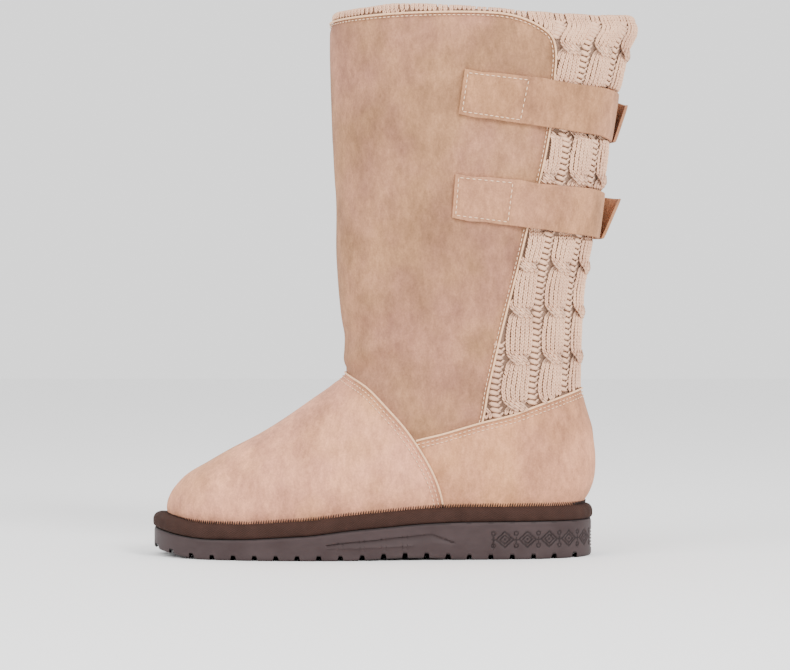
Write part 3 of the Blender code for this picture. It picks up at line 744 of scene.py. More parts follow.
@dataclass(frozen=True)
class Thread:
    """Sewing thread or a leather cord: even colour with fine twist."""

    name: str
    tint: Colour
    roughness: float = 0.7
    cloud_scale: float = 420.0
    twist_scale: float = 2600.0

    def build(self) -> bpy.types.Material:
        """Makes the material."""
        bench = Bench(self.name, self.roughness, sheen=0.1, specular=0.25)
        tones = ((0.3, dimmed(self.tint, 0.84)), (0.7, self.tint))
        bench.colour(bench.ramp(bench.noise(self.cloud_scale), tones))
        bench.bump(bench.noise(self.twist_scale), 0.0002, 0.5)
        return bench.material


@dataclass(frozen=True)
class BandCloth:
    """Closely woven dark cloth of the welt band, on its own UV in hundredths of a metre."""

    name: str
    warp: Colour
    weft: Colour
    across_rate: float = 60.0
    upward_rate: float = 48.0
    slant: float = 0.6
    faded: float = 0.35

    def build(self) -> bpy.types.Material:
        """Makes the material."""
        bench = Bench(self.name, 0.85, specular=0.12)
        bench.place = bench.tree.nodes.new("ShaderNodeTexCoord").outputs["UV"]
        split = bench.tree.nodes.new("ShaderNodeSeparateXYZ")
        bench.join(bench.place, split.inputs["Vector"])
        across = bench.math("SINE", bench.math("MULTIPLY", split.outputs["X"], self.across_rate))
        rise = bench.math("MULTIPLY", split.outputs["X"], self.slant)
        slant = bench.math("ADD", split.outputs["Y"], rise)
        upward = bench.math("SINE", bench.math("MULTIPLY", slant, self.upward_rate))
        weave = bench.level(bench.math("MULTIPLY", across, upward), -1.0, 1.0)
        tone = bench.ramp(weave, ((0.15, self.warp), (0.85, self.weft)))
        fade = bench.level(bench.noise(0.9, 3.0, 0.6), 0.3, 0.7, 0.0, self.faded)
        bench.colour(bench.mix(fade, tone, dimmed(self.weft, 1.5)))
        bench.bump(weave, 0.00035, 0.8)
        bench.bump(bench.noise(22.0), 0.0002, 0.5)
        return bench.material


@dataclass(frozen=True)
class SoleRubber:
    """Moulded rubber: matt, a little dusty, with painted shade in its grooves."""

    name: str
    tint: Colour
    dust: Colour
    cloud_scale: float = 55.0
    grain_scale: float = 900.0
    groove_shade: float = 0.85

    def build(self) -> bpy.types.Material:
        """Makes the material."""
        bench = Bench(self.name, 0.5, specular=0.15)
        cloud = bench.noise(self.cloud_scale, 4.0, 0.6, bench.stretched((0.7, 1.0, 1.6)))
        base = bench.ramp(cloud, ((0.35, self.tint), (0.70, self.dust)))
        # Painted shade: the groove attribute mixes the colour towards a dark tone in grooves, lines, ribs
        # and the recess.
        groove = bench.level(bench.attribute("groove"), 0.0, 1.0, 0.0, self.groove_shade)
        bench.colour(bench.mix(groove, base, dimmed(self.tint, 0.25)))
        bench.join(bench.level(cloud, 0.3, 0.7, 0.42, 0.62), bench.shader.inputs["Roughness"])
        bench.bump(bench.noise(self.grain_scale, 3.0), 0.0001, 0.4)
        return bench.material


FINISHES = {
    "shaft": Suede("suede_shaft", (0.340, 0.174, 0.091), (0.388, 0.174, 0.130)),
    "vamp": Suede("suede_vamp", (0.560, 0.272, 0.141), (0.640, 0.285, 0.205), 0.9),
    "counter": Suede("suede_counter", (0.508, 0.240, 0.122), (0.532, 0.243, 0.158), 1.7),
    "strap": Suede("suede_strap", (0.396, 0.194, 0.098), (0.418, 0.199, 0.125), 2.6),
    "yarn": Yarn("wool_yarn", (0.880, 0.548, 0.358), (0.740, 0.440, 0.292)),
    # A darker wool for the sheet under the loops: painted shade in the gaps between them.
    "yarn_shade_sheet": Yarn("wool_ground", (0.420, 0.260, 0.175), (0.330, 0.195, 0.130)),
    "fleece": Fleece("fleece_pile", (0.620, 0.420, 0.300)),
    "thread": Thread("pale_thread", (0.860, 0.580, 0.380)),
    "cord": Thread("pale_cord", (0.860, 0.520, 0.300), 0.6),
    "band": BandCloth("band_weave", (0.017, 0.0075, 0.0055), (0.048, 0.0245, 0.0190)),
    "band_thread": Thread("dark_thread", (0.026, 0.0125, 0.0095)),
    "rubber": SoleRubber("sole_moulding", (0.039, 0.0255, 0.0255), (0.054, 0.0375, 0.0375)),
}
MADE: dict[str, bpy.types.Material] = {}


def finish(name: str) -> bpy.types.Material:
    """The material of a named finish, made once."""
    if name not in MADE:
        MADE[name] = FINISHES[name].build()
    return MADE[name]


def dress(piece: bpy.types.Object, slot: str, *nodes: str) -> bpy.types.Object:
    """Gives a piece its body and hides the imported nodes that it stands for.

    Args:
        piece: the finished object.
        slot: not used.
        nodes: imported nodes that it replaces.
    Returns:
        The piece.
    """
    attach(piece, "root")
    if nodes:
        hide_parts(*nodes)
    LOG.info("%s: %d faces", piece.name, len(piece.data.polygons))
    return piece


def new_piece(name: str, builder: bmesh.types.BMesh, look: str, sharp: float = 60.0) -> bpy.types.Object:
    """A smooth-shaded object from a bmesh, with its material.

    Args:
        name: the piece's name.
        builder: the mesh, which is freed.
        look: name of its finish.
        sharp: edges above this many degrees stay sharp.
    Returns:
        The object.
    """
    mesh = bpy.data.meshes.new(name)
    builder.to_mesh(mesh)
    builder.free()
    mesh.materials.append(finish(look))
    mesh.shade_smooth()
    mesh.set_sharp_from_angle(angle=math.radians(sharp))
    piece = bpy.data.objects.new(name, mesh)
    bpy.context.scene.collection.objects.link(piece)
    return piece


def sheet_mesh(points: Array, faces: Sequence[Sequence[int]]) -> bmesh.types.BMesh:
    """A bmesh from points and faces, without the points that no face uses.

    Args:
        points: one row a point.
        faces: each face's points, by number.
    Returns:
        The mesh.
    """
    used = sorted({corner for face in faces for corner in face})
    place = {old: new for new, old in enumerate(used)}
    builder = bmesh.new()
    verts = [builder.verts.new(points[old]) for old in used]
    for face in faces:
        builder.faces.new([verts[place[corner]] for corner in face])
    return builder


def web(builder: bmesh.types.BMesh, low: Sequence, high: Sequence, closed: bool = False) -> None:
    """Faces between two rows of vertices.

    Args:
        builder: the mesh.
        low: one row.
        high: the other, as long as the first.
        closed: whether the last vertex joins the first.
    """
    for at in range(len(low) if closed else len(low) - 1):
        after = (at + 1) % len(low)
        builder.faces.new((low[at], low[after], high[after], high[at]))


def border(rows: Sequence[Sequence]) -> list:
    """The outer vertices of a grid of rows, once round."""
    far, near = [row[-1] for row in rows[1:-1]], [row[0] for row in rows[-2:0:-1]]
    return [*rows[0], *far, *reversed(rows[-1]), *near]


def carry(piece: bpy.types.Object, name: str, values: Array) -> None:
    """Writes a value for each vertex to the piece's mesh.

    Args:
        piece: the piece.
        name: name of the attribute.
        values: one value a vertex.
    """
    layer = piece.data.attributes.new(name, "FLOAT", "POINT")
    layer.data.foreach_set("value", np.asarray(values, dtype=np.float32))


class Lobes:
    """Many small tapered lobes, such as knit loops or stitches, joined into one mesh."""

    def __init__(self, sides: int = 6, rings: Sequence[float] = (0.0, 0.22, 0.5, 0.78, 1.0)) -> None:
        """Makes the pattern lobe: length one along X, half a unit in radius.

        Args:
            sides: corners of its cross-section.
            rings: where its cross-sections stand along its length.
        """
        builder = bmesh.new()
        bmesh.ops.create_cone(
            builder, cap_ends=True, cap_tris=False, segments=sides, radius1=0.5, radius2=0.5, depth=1.0
        )
        turn = Matrix.Rotation(math.radians(90), 3, "Y")
        bmesh.ops.rotate(builder, verts=builder.verts, cent=(0, 0, 0), matrix=turn)
        for cut in rings[1:-1]:
            bmesh.ops.bisect_plane(
                builder,
                geom=[*builder.verts, *builder.edges, *builder.faces],
                plane_co=(cut - 0.5, 0, 0),
                plane_no=(1, 0, 0),
            )
        for vert in builder.verts:
            along = min(abs(vert.co.x) * 2, 1.0)
            narrow = math.sqrt(max(1 - 0.88 * along**2.4, 0.0))
            vert.co.y *= narrow
            vert.co.z *= narrow
        bmesh.ops.triangulate(builder, faces=[f for f in builder.faces if len(f.verts) > 4])
        builder.verts.index_update()
        self.points = np.array([vert.co for vert in builder.verts])
        self.faces = [[vert.index for vert in face.verts] for face in builder.faces]
        # Painted shade: each lobe's ends carry a higher value, so the yarn draws them darker.
        self.tips = 0.7 * (np.abs(self.points[:, 0]) * 2) ** 3
        builder.free()
        self.parts: list[Array] = []
        self.values: list[Array] = []

    def add(
        self,
        centre: Array,
        along: Array,
        out: Array,
        length: Array | float,
        width: Array | float,
        height: Array | float,
        value: Array | float = 0.0,
    ) -> None:
        """Places lobes.

        Args:
            centre: their middles, one row each.
            along: their directions.
            out: their outward directions.
            length: their lengths.
            width: their widths across the surface.
            height: their heights out of the surface.
            value: painted shade that each carries for the material.
        """
        count = len(centre)
        if not count:
            return
        along, out = unit(along), unit(out)
        across = unit(np.cross(out, along))
        out = np.cross(along, across)
        sizes = [np.broadcast_to(np.asarray(size, float), (count,)) for size in (length, width, height)]
        scaled = [axis * size[:, None] for axis, size in zip((along, across, out), sizes)]
        placed = centre[:, None, :] + sum(
            self.points[None, :, axis, None] * scaled[axis][:, None, :] for axis in range(3)
        )
        self.parts.append(placed)
        self.values.append(np.broadcast_to(np.asarray(value, dtype=float), (count,)))

    def finish(self, name: str, look: str) -> bpy.types.Object:
        """Joins the lobes into one object.

        Args:
            name: the piece's name.
            look: name of its finish.
        Returns:
            The object.
        """
        placed = np.concatenate(self.parts)
        values = np.concatenate(self.values)
        count, size = placed.shape[0], len(self.points)
        corners = np.concatenate([np.array(face) for face in self.faces])
        sides = np.array([len(face) for face in self.faces])
        all_corners = (corners[None, :] + np.arange(count)[:, None] * size).ravel()
        all_sides = np.tile(sides, count)
        mesh = bpy.data.meshes.new(name)
        mesh.vertices.add(count * size)
        mesh.vertices.foreach_set("co", placed.reshape(-1).astype(np.float32))
        mesh.loops.add(len(all_corners))
        mesh.loops.foreach_set("vertex_index", all_corners.astype(np.int32))
        mesh.polygons.add(len(all_sides))
        starts = np.concatenate([[0], np.cumsum(all_sides)[:-1]])
        mesh.polygons.foreach_set("loop_start", starts.astype(np.int32))
        mesh.update(calc_edges=True)
        mesh.validate()
        mesh.materials.append(finish(look))
        mesh.shade_smooth()
        piece = bpy.data.objects.new(name, mesh)
        bpy.context.scene.collection.objects.link(piece)
        # The depth attribute holds painted shade: each lobe's value plus its darker ends.
        carry(piece, "depth", np.clip(np.repeat(values, size) + np.tile(self.tips, count), 0, 1))
        return piece


def small_lobes() -> Lobes:
    """Lobes plain enough for stitches and knit loops."""
    return Lobes(5, SHORT_RINGS)


# The upper's soft panels


def crease_relief(x: Array, z: Array) -> Array:
    """Height of the listed creases, ridges positive and troughs negative.

    Args:
        x: positions along the foot.
        z: heights.
    Returns:
        Heights over the form, in metres.
    """
    relief = np.zeros_like(x)
    for crease in CREASES:
        cx = FORM.world_x(crease.along * FORM.sole_length)
        cz = FORM.heel_thickness + crease.rise * FORM.upper_height
        angle = math.radians(crease.angle)
        run = (x - cx) * math.cos(angle) + (z - cz) * math.sin(angle)
        across = -(x - cx) * math.sin(angle) + (z - cz) * math.cos(angle)
        across += 0.12 * np.sin(run / crease.length * 5.0) * crease.width
        reach = np.exp(-((run / (crease.length * 0.5)) ** 4))
        relief += crease.depth * reach * np.exp(-((across / crease.width) ** 2))
    return relief


def soft_waves(x: Array, y: Array, z: Array) -> Array:
    """Slow hand-made unevenness of leather over pile.

    Args:
        x: positions along the foot.
        y: positions across it.
        z: heights.
    Returns:
        Heights over the form, in metres.
    """
    return 0.00035 * (
        np.sin(x * 71 + 1.3 * np.sin(z * 47)) * np.sin(z * 58 + 0.7 + y * 33)
        + 0.6 * np.sin(x * 133 - z * 91 + y * 51 + 2.1)
    )


@dataclass
class SuedePanel:
    """One suede panel of the upper, cut from the form along its seams, with turned-in edges."""

    name: str
    node: str
    look: str
    inside: Callable[[Array, Array], Array]
    rows: tuple[tuple[float, float], ...] = ()
    edge_gap: float = 0.0006
    puff: float = 0.0007
    puff_reach: float = 0.006
    crease_reach: float = 0.010
    edge_reach: float = 0.0035
    edge_turn: float = 0.0016
    stitch_dip: float = 0.0004
    dip_width: float = 0.0009
    grid_step: float = 0.0016
    turns: int = 340
    pucker: float = 0.00018
    pucker_rise: float = 0.010
    pucker_reach: float = 0.006

    def build(self) -> bpy.types.Object:
        """Cuts the panel from a fine grid, shapes its face and turns its edges in.

        Returns:
            The panel.
        """
        level, turn = np.meshgrid(*upper_grid(self.grid_step, self.turns), indexing="ij")
        point = FORM.skin(level, turn)
        inside = self.inside(point[..., 0], point[..., 2]) - self.edge_gap
        level, turn, inside = self.snap(level, turn, inside)
        point, _, _, normal = FORM.axes(level, turn)
        depth = np.maximum(inside, 0.0)
        flat = (point + self.relief(point, depth)[..., None] * normal).reshape(-1, 3)
        faces = self.faces(inside)
        used = sorted({corner for face in faces for corner in face})
        builder = sheet_mesh(flat, faces)
        sources = self.turn_in(builder, flat[used], -normal.reshape(-1, 3)[used] * self.edge_turn)
        # The panel carries a value that rises towards its edges and on its turned-in edge; the suede draws
        # it darker.
        rub = np.exp(-depth.ravel()[used] / self.edge_reach)
        piece = new_piece(self.name, builder, self.look, 50.0)
        carry(piece, "rub", np.concatenate([rub, rub[sources]]) * 0.5)
        return dress(piece, "suede", self.node)

    def relief(self, point: Array, depth: Array) -> Array:
        """Height of the panel's face over the form: puffed, creased, dipped at its stitches.

        Args:
            point: places on the form.
            depth: distance inside the panel's edge there.
        Returns:
            Heights in metres.
        """
        relief = self.puff * (smooth_step(depth / self.puff_reach) - 1.0)
        for distance, share in self.rows:
            relief -= self.stitch_dip * share * np.exp(-(((depth - distance) / self.dip_width) ** 2))
        x, y, z = point[..., 0], point[..., 1], point[..., 2]
        relief += smooth_step(depth / self.crease_reach) * (crease_relief(x, z) + soft_waves(x, y, z))
        return relief + self.gather(point)

    @staticmethod
    def turn_in(builder: bmesh.types.BMesh, points: Array, inward: Array) -> list[int]:
        """Adds the turned-in edge: the border's vertices again, moved inwards.

        Args:
            builder: the panel's face, which gets the edge.
            points: its vertices' places.
            inward: how each would move.
        Returns:
            For each new vertex, the number of the one that it comes from.
        """
        rim = [edge for edge in builder.edges if len(edge.link_faces) == 1]
        made = bmesh.ops.extrude_edge_only(builder, edges=rim)
        homes = {rounded(point): at for at, point in enumerate(points)}
        sources = []
        for vert in (item for item in made["geom"] if isinstance(item, bmesh.types.BMVert)):
            sources.append(homes.get(rounded(vert.co), 0))
            vert.co += Vector(inward[sources[-1]])
        return sources

    def snap(self, level: Array, turn: Array, inside: Array) -> tuple[Array, Array, Array]:
        """Moves the grid's places nearest to the panel's edge onto it.

        Args:
            level: the grid's levels.
            turn: its turns.
            inside: distance inside the panel at each place.
        Returns:
            The three arrays, with zero distance at the places moved.
        """
        down = np.gradient(inside, axis=0)
        over = (np.roll(inside, -1, axis=1) - np.roll(inside, 1, axis=1)) / 2
        size = np.maximum(down**2 + over**2, 1e-14)
        move_down = np.clip(-inside * down / size, -0.5, 0.5)
        move_over = np.clip(-inside * over / size, -0.5, 0.5)
        near = np.abs(inside) < 0.55 * np.sqrt(size)
        level_step = np.gradient(level, axis=0)
        turn_step = 2 * math.pi / self.turns
        level = np.where(near, level + move_down * level_step, level)
        turn = np.where(near, turn + move_over * turn_step, turn)
        level = np.clip(level, 0, len(SECTIONS) - 1)
        return level, turn, np.where(near, 0.0, inside)

    def faces(self, inside: Array) -> list[tuple[int, ...]]:
        """The grid's faces that lie in the panel, split along its edge where needed.

        Args:
            inside: distance inside the panel at each place.
        Returns:
            Each face's places, by number.
        """
        rows, columns = inside.shape
        found = []
        flat = inside.ravel()
        for row in range(rows - 1):
            for column in range(columns):
                after = (column + 1) % columns
                corners = (
                    row * columns + column,
                    row * columns + after,
                    (row + 1) * columns + after,
                    (row + 1) * columns + column,
                )
                signs = [flat[corner] for corner in corners]
                if max(signs) <= 0:
                    continue
                if min(signs) >= 0:
                    found.append(corners)
                    continue
                if signs[0] == signs[2] == 0:
                    keep = (0, 1, 2) if signs[1] > 0 else (0, 2, 3)
                elif signs[1] == signs[3] == 0:
                    keep = (1, 2, 3) if signs[2] > 0 else (0, 1, 3)
                else:
                    continue
                found.append(tuple(corners[at] for at in keep))
        return found

    def gather(self, point: Array) -> Array:
        """Small upright puckers where the panel is lasted under the welt band.

        Args:
            point: places on the form.
        Returns:
            Heights in metres.
        """
        x = point[..., 0]
        above = point[..., 2] - FORM.ledge_height(FORM.share_at(x)) - self.pucker_rise
        near = np.exp(-((above / self.pucker_reach) ** 2))
        return self.pucker * near * np.sin(x * 900 + 2 * np.sin(x * 210))


def rounded(spot: Sequence[float]) -> tuple[float, ...]:
    """A place rounded enough to find the same place by it."""
    return tuple(round(part, 7) for part in spot)


def upper_grid(step: float, turns: int) -> tuple[Array, Array]:
    """Levels about one step apart up the upper, and even turns round it.

    Args:
        step: distance between rows.
        turns: number of turns.
    Returns:
        Levels and turns.
    """
    samples = np.linspace(0, len(SECTIONS) - 1, 1200)
    lengths = []
    for angle in (0.0, math.pi / 2, math.pi):
        line = FORM.skin(samples, np.full_like(samples, angle))
        lengths.append(distances(line))
    mean = sum(lengths) / 3
    count = int(mean[-1] / step)
    levels = np.interp(np.linspace(0, mean[-1], count), mean, samples)
    return levels, np.arange(turns) * 2 * math.pi / turns


@dataclass
class SeamWork:
    """Pale cords and rows of stitches along the seams, unbroken across the boot's ridges."""

    cord_width: float = 0.0013
    cord_height: float = 0.0012
    cord_step: float = 0.0012
    stitch_length: float = 0.0019
    stitch_pitch: float = 0.0029
    stitch_width: float = 0.00065
    vamp_rows: tuple[float, ...] = (-0.0026, -0.0052)
    counter_rows: tuple[float, ...] = (-0.0024, -0.0046)
    knit_rows: tuple[float, ...] = (0.0018,)
    vamp_front: float = 0.4125
    collar_front: float = 0.4120
    counter_back: float = 0.9700
    band_clearance: float = 0.0098
    ridge_turn: float = 0.02
    ridge_levels: float = 4.0
    lobes: Lobes = field(default_factory=small_lobes)

    def trace(self, line: Array, middle: float, step: float) -> tuple[Array, Array, Array]:
        """A seam's course over both sides of the boot and the ridge between them.

        Args:
            line: the seam in side view, from the ridge outwards.
            middle: the ridge's turn, 0 in front or pi behind.
            step: distance between places.
        Returns:
            Points, directions and normals.
        """
        level, turn = FORM.find(line[:, 0], line[:, 1], Side.OUTER)
        beside = np.abs(turn - middle) > self.ridge_turn
        level, turn = level[beside], turn[beside]
        bridge = np.linspace(2 * middle - turn[0], turn[0], 61)[1:-1]
        lowest, highest = level[0] - self.ridge_levels, level[0] + self.ridge_levels
        samples = np.linspace(max(lowest, 0), min(highest, len(SECTIONS) - 1), 240)
        spots = FORM.skin(*np.meshgrid(samples, bridge, indexing="ij"))
        away = left_of(line, spots[..., 0], spots[..., 2])
        low = np.argmax(np.sign(away[1:]) != np.sign(away[:-1]), axis=0)
        each = np.arange(len(bridge))
        part = away[low, each] / (away[low, each] - away[low + 1, each])
        bridge_level = samples[low] + (samples[1] - samples[0]) * part
        level = np.concatenate([level[::-1], bridge_level, level])
        turn = np.concatenate([2 * middle - turn[::-1], bridge, turn])
        along = distances(FORM.skin(level, turn))
        at = np.arange(step / 2, along[-1], step)
        point, _, _, normal = FORM.axes(np.interp(at, along, level), np.interp(at, along, turn))
        return point, unit(np.gradient(point, axis=0)), normal

    def cord(self, name: str, node: str, line: Array, middle: float) -> bpy.types.Object:
        """A flattened cord along a seam, from one side of the boot over the ridge to the other.

        Args:
            name: the piece's name.
            node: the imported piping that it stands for.
            line: the seam in side view, from the ridge outwards.
            middle: the ridge's turn.
        Returns:
            The cord.
        """
        point, along, normal = self.trace(line, middle, self.cord_step)
        across = unit(np.cross(along, normal))
        angle = np.arange(8) * math.pi / 4
        rings = (
            point[:, None]
            + np.cos(angle)[:, None] * self.cord_width / 2 * across[:, None]
            + np.sin(angle)[:, None] * self.cord_height / 2 * normal[:, None]
        )
        builder = bmesh.new()
        grid = [[builder.verts.new(spot) for spot in ring] for ring in rings]
        for low, high in zip(grid, grid[1:]):
            web(builder, low, high, closed=True)
        builder.faces.new(grid[0])
        builder.faces.new(grid[-1])
        bmesh.ops.recalc_face_normals(builder, faces=builder.faces)
        return dress(new_piece(name, builder, "cord"), "piping", node)

    def stitches(self, line: Array, middle: float) -> None:
        """A row of stitches along a side-view line, over the ridge too.

        Args:
            line: the row in side view, from the ridge outwards.
            middle: the ridge's turn.
        """
        point, along, normal = self.trace(line, middle, self.stitch_pitch)
        self.lobes.add(point, along, normal, self.stitch_length, self.stitch_width, self.stitch_width)

    def vamp_line(self, shift: float) -> Array:
        """The vamp seam moved to its left, from the ridge in front down to the band."""
        line = shifted(SEAMS.vamp, shift)
        front = FORM.world_x(self.vamp_front * FORM.sole_length)
        return line[(line[:, 1] > FORM.heel_thickness + self.band_clearance) & (line[:, 0] > front)]

    def counter_line(self, shift: float) -> Array:
        """The counter seam moved to its left, from the ridge behind forwards to the vamp."""
        line = shifted(SEAMS.counter, shift)
        back = FORM.world_x(self.counter_back * FORM.sole_length)
        return line[(left_of(SEAMS.vamp, line[:, 0], line[:, 1]) > 0) & (line[:, 0] < back)][::-1]

    def knit_line(self, shift: float) -> Array:
        """The knit seam moved to its left, from the collar in front back and down to the counter."""
        line = shifted(SEAMS.knit, shift)
        collar = FORM.world_x(self.collar_front * FORM.sole_length)
        return line[(left_of(SEAMS.counter, line[:, 0], line[:, 1]) > 0) & (line[:, 0] > collar)][::-1]

    def build(self) -> None:
        """Makes the cords and the rows of stitches."""
        for seam, course, rows, middle in (
            ("vamp", self.vamp_line, self.vamp_rows, 0.0),
            ("counter", self.counter_line, self.counter_rows, math.pi),
            ("knit", self.knit_line, self.knit_rows, 0.0),
        ):
            self.cord(f"{seam}_cord", f"{seam}_piping", course(0.0), middle)
            for shift in rows:
                self.stitches(course(shift), middle)
        dress(self.lobes.finish("seam_stitches", "thread"), "piping")


# Knit


@dataclass
class CableKnit:
    """The cable-knit sleeve: rows of wool loops in twisted cables with ladder gutters between."""

    pitch: float = 0.0240
    wales: int = 6
    wale: float = 0.0029
    rim_wale: float = 0.0030
    row: float = 0.00197
    repeat: int = 14
    cross_rows: int = 5
    crown: float = 0.0017
    over_lift: float = 0.0015
    under_lift: float = -0.0012
    edge_shade: float = 0.45
    under_shade: float = 1.2
    shading: float = 0.8
    yarn: float = 0.00125
    loop_rows: float = 1.62
    leg_spread: float = 0.205
    leg_splay: float = 0.34
    unevenness: float = 0.00008
    sink: float = 0.0016
    pressed: float = 0.0022
    rim_radius: float = 0.0036
    rim_depth: float = 0.0040
    start: float = 0.055
    shift: float = 0.0025
    first_row: int = 6
    rung_pitch: float = 0.0035
    # Rung and bridge: length, width, height and painted shade.
    rung: tuple[float, float, float, float] = (0.0072, 0.0029, 0.0016, 0.12)
    bridge: tuple[float, float, float, float] = (0.0034, 0.0014, 0.0010, 0.30)
    ground_sink: float = 0.0022
    ground_shade: float = 0.60
    rim_ground_shade: float = 0.20
    straps: Sequence["Strap"] = ()

    def __post_init__(self) -> None:
        """Measures the leg: the way up the back, and the way round at every level."""
        self.samples = np.linspace(0, len(SECTIONS) - 1, 500)
        self.rise_at = distances(FORM.skin(self.samples, np.full_like(self.samples, math.pi)))
        self.top = self.rise_at[-1] - self.rim_radius
        around = np.linspace(0, math.pi, 160)
        level, turn = np.meshgrid(self.samples, math.pi - around, indexing="ij")
        steps = np.linalg.norm(np.diff(FORM.skin(level, turn), axis=1), axis=2)
        reach = np.concatenate([np.zeros((len(level), 1)), np.cumsum(steps, axis=1)], axis=1)
        self.halves = reach[:, -1]
        shares = np.linspace(0, 1, 240)
        self.turn_table = np.array([np.interp(shares * row[-1], row, around) for row in reach])

    def spot(self, arc: Array, height: Array) -> tuple[Array, Array, Array, Array]:
        """Place, round, up and outward directions of a knit position.

        Args:
            arc: distance round from the back's middle, positive on the outer side.
            height: distance up the back from the sole; past the top it rolls inwards.
        Returns:
            Points and their three directions.
        """
        level = np.interp(np.minimum(height, self.top), self.rise_at, self.samples)
        table = self.turn_table
        down = level / self.samples[-1] * (len(table) - 1.001)
        over = np.abs(arc) / np.interp(level, self.samples, self.halves)
        over = np.clip(over, 0, 1) * (table.shape[1] - 1.001)
        row, column = down.astype(int), over.astype(int)
        down, over = down - row, over - column
        near = table[row, column] * (1 - over) + table[row, column + 1] * over
        far = table[row + 1, column] * (1 - over) + table[row + 1, column + 1] * over
        turn = math.pi - np.sign(arc) * (near * (1 - down) + far * down)
        point, around, up, normal = FORM.axes(level, turn)
        roll = np.maximum(height - self.top, 0.0) / self.rim_radius
        angle = np.minimum(roll, math.pi)
        rest = np.maximum(roll - math.pi, 0.0) * self.rim_radius
        sin, cos = np.sin(angle)[:, None], np.cos(angle)[:, None]
        rolled = point + self.rim_radius * (sin * up - (1 - cos) * normal) - rest[:, None] * up
        rolled[:, 2] -= FORM.rim_drop(point[:, 2], turn)
        return rolled, around, cos * up - sin * normal, cos * normal + sin * up

    def half_length(self, height: Array | float) -> Array:
        """Distance round from the back's middle to the front's, at a height."""
        level = np.interp(np.minimum(height, self.top), self.rise_at, self.samples)
        return np.interp(level, self.samples, self.halves)

    def heights(self, step: float) -> Array:
        """Heights of rows a step apart, to the end of the rolled rim."""
        return np.arange(self.start, self.top + self.rim_radius * math.pi + 0.008, step)

    def loops(self) -> tuple[Array, ...]:
        """Every loop of the sleeve, before the seams trim them.

        The wales of a cable cross in its first rows and run straight in the rest. The rim has two more
        wales between the cables and no crossings.

        Returns:
            Arcs, heights, slopes of the wales, lifts, shades and spreads.
        """
        heights = self.heights(self.row)
        row, column, wale = np.meshgrid(
            np.arange(len(heights)), np.arange(-11, 11), np.arange(self.wales + 2), indexing="ij"
        )
        height = heights[row]
        calm = smooth_step((height - self.top + 0.007) / 0.006)
        phase = (len(heights) - row + self.first_row) % self.repeat
        along = np.clip((phase + 0.5) / self.cross_rows, 0, 1)
        along = np.where(height > self.top - self.rim_depth, 1.0, along)
        cross = smooth_step(along)
        twist = np.sin(math.pi * cross)
        rest = np.maximum(phase - self.cross_rows, 0) / (self.repeat - self.cross_rows)
        swell = 0.94 + (0.09 * np.sin(math.pi * rest) - 0.04 * twist) * (1 - calm)
        strand = np.where(wale < self.wales / 2, 1.0, -1.0)
        swap = self.wales / 2 * self.wale
        beside = (wale % (self.wales // 2) - (self.wales // 2 - 1) / 2) * self.wale * (1 + 0.35 * twist)
        across = (beside + strand * swap * (0.5 - cross)) * swell
        slope = strand * swap / (self.cross_rows * self.row) * 6 * along * (1 - along)
        lift = self.crown * (1 - (across / (self.pitch * 0.38)) ** 2)
        lift = lift + np.where(strand > 0, self.over_lift, self.under_lift) * twist
        # Painted shade at the crossings: the outer wales of the strand in front and the whole strand behind
        # are drawn darker.
        edge = np.abs(beside) > self.wale * 0.9
        shade = np.clip(np.where(strand > 0, self.edge_shade * edge, self.under_shade) * twist, 0, 1)
        between = wale >= self.wales
        beyond = self.pitch / 2 + (wale - self.wales - 0.5) * self.rim_wale
        across = np.where(between, beyond, across)
        lift = np.where(between, 0.0, lift) * (1 - 0.85 * calm) + 0.0002 * calm
        arc = (column + 0.5) * self.pitch + self.shift + across
        keep = (np.abs(arc) < self.half_length(height)) & (~between | (calm > 0.5))
        spread = swell * (1 + 0.2 * twist)
        return tuple(
            item[keep] for item in (arc, height, slope * ~between, lift, shade * ~between, spread)
        )

    def kept(self, point: Array, height: Array) -> Array:
        """Which positions lie in the sleeve's outline, or on its rolled top."""
        inside = SEAMS.in_knit(point[:, 0], point[:, 2])
        return (inside > 0.0012) | (height > self.top - 0.0005)

    def build(self) -> None:
        """Makes the ground sheet of painted shade, the loops and the ladder rungs."""
        self.ground()
        random = np.random.default_rng(SEED)
        loops = self.loops()
        places = self.spot(loops[0], loops[1])
        keep = self.kept(places[0], loops[1])
        _, height, slope, lift, shade, spread = (item[keep] for item in loops)
        point, around, up, normal = (item[keep] for item in places)
        sway, drift, splay = random.normal(0.0, 1.0, (3, len(point)))[..., None]
        out = lift - self.pressed * strap_press(self.straps, point)
        middle = point + (out[:, None] - self.sink + sway * self.unevenness) * normal
        middle = middle + drift * self.unevenness * around
        slope, spread = slope[:, None], spread[:, None]
        run = unit(up - slope * around)
        over = unit(np.cross(run, normal))
        long = self.row * self.loop_rows * np.sqrt(1 + slope[:, 0] ** 2)
        lean = self.leg_splay / (1 + 1.5 * np.abs(slope)) + splay * 0.03
        on_rim, outside = height > self.top - self.rim_depth, point[:, 1] < 0
        for name, picked in (
            ("knit_loops_outer", ~on_rim & outside),
            ("knit_loops_inner", ~on_rim & ~outside),
            ("knit_loops_rim", on_rim),
        ):
            lobes = small_lobes()
            for leg in (-1, 1):
                centre = middle + leg * self.wale * self.leg_spread * spread * over
                lobes.add(
                    centre[picked], unit(run + leg * lean * over)[picked], normal[picked], long[picked],
                    self.yarn * spread[picked, 0], self.yarn * 1.05, shade[picked] * self.shading,
                )
            dress(lobes.finish(name, "yarn"), "knit")
        self.rungs()

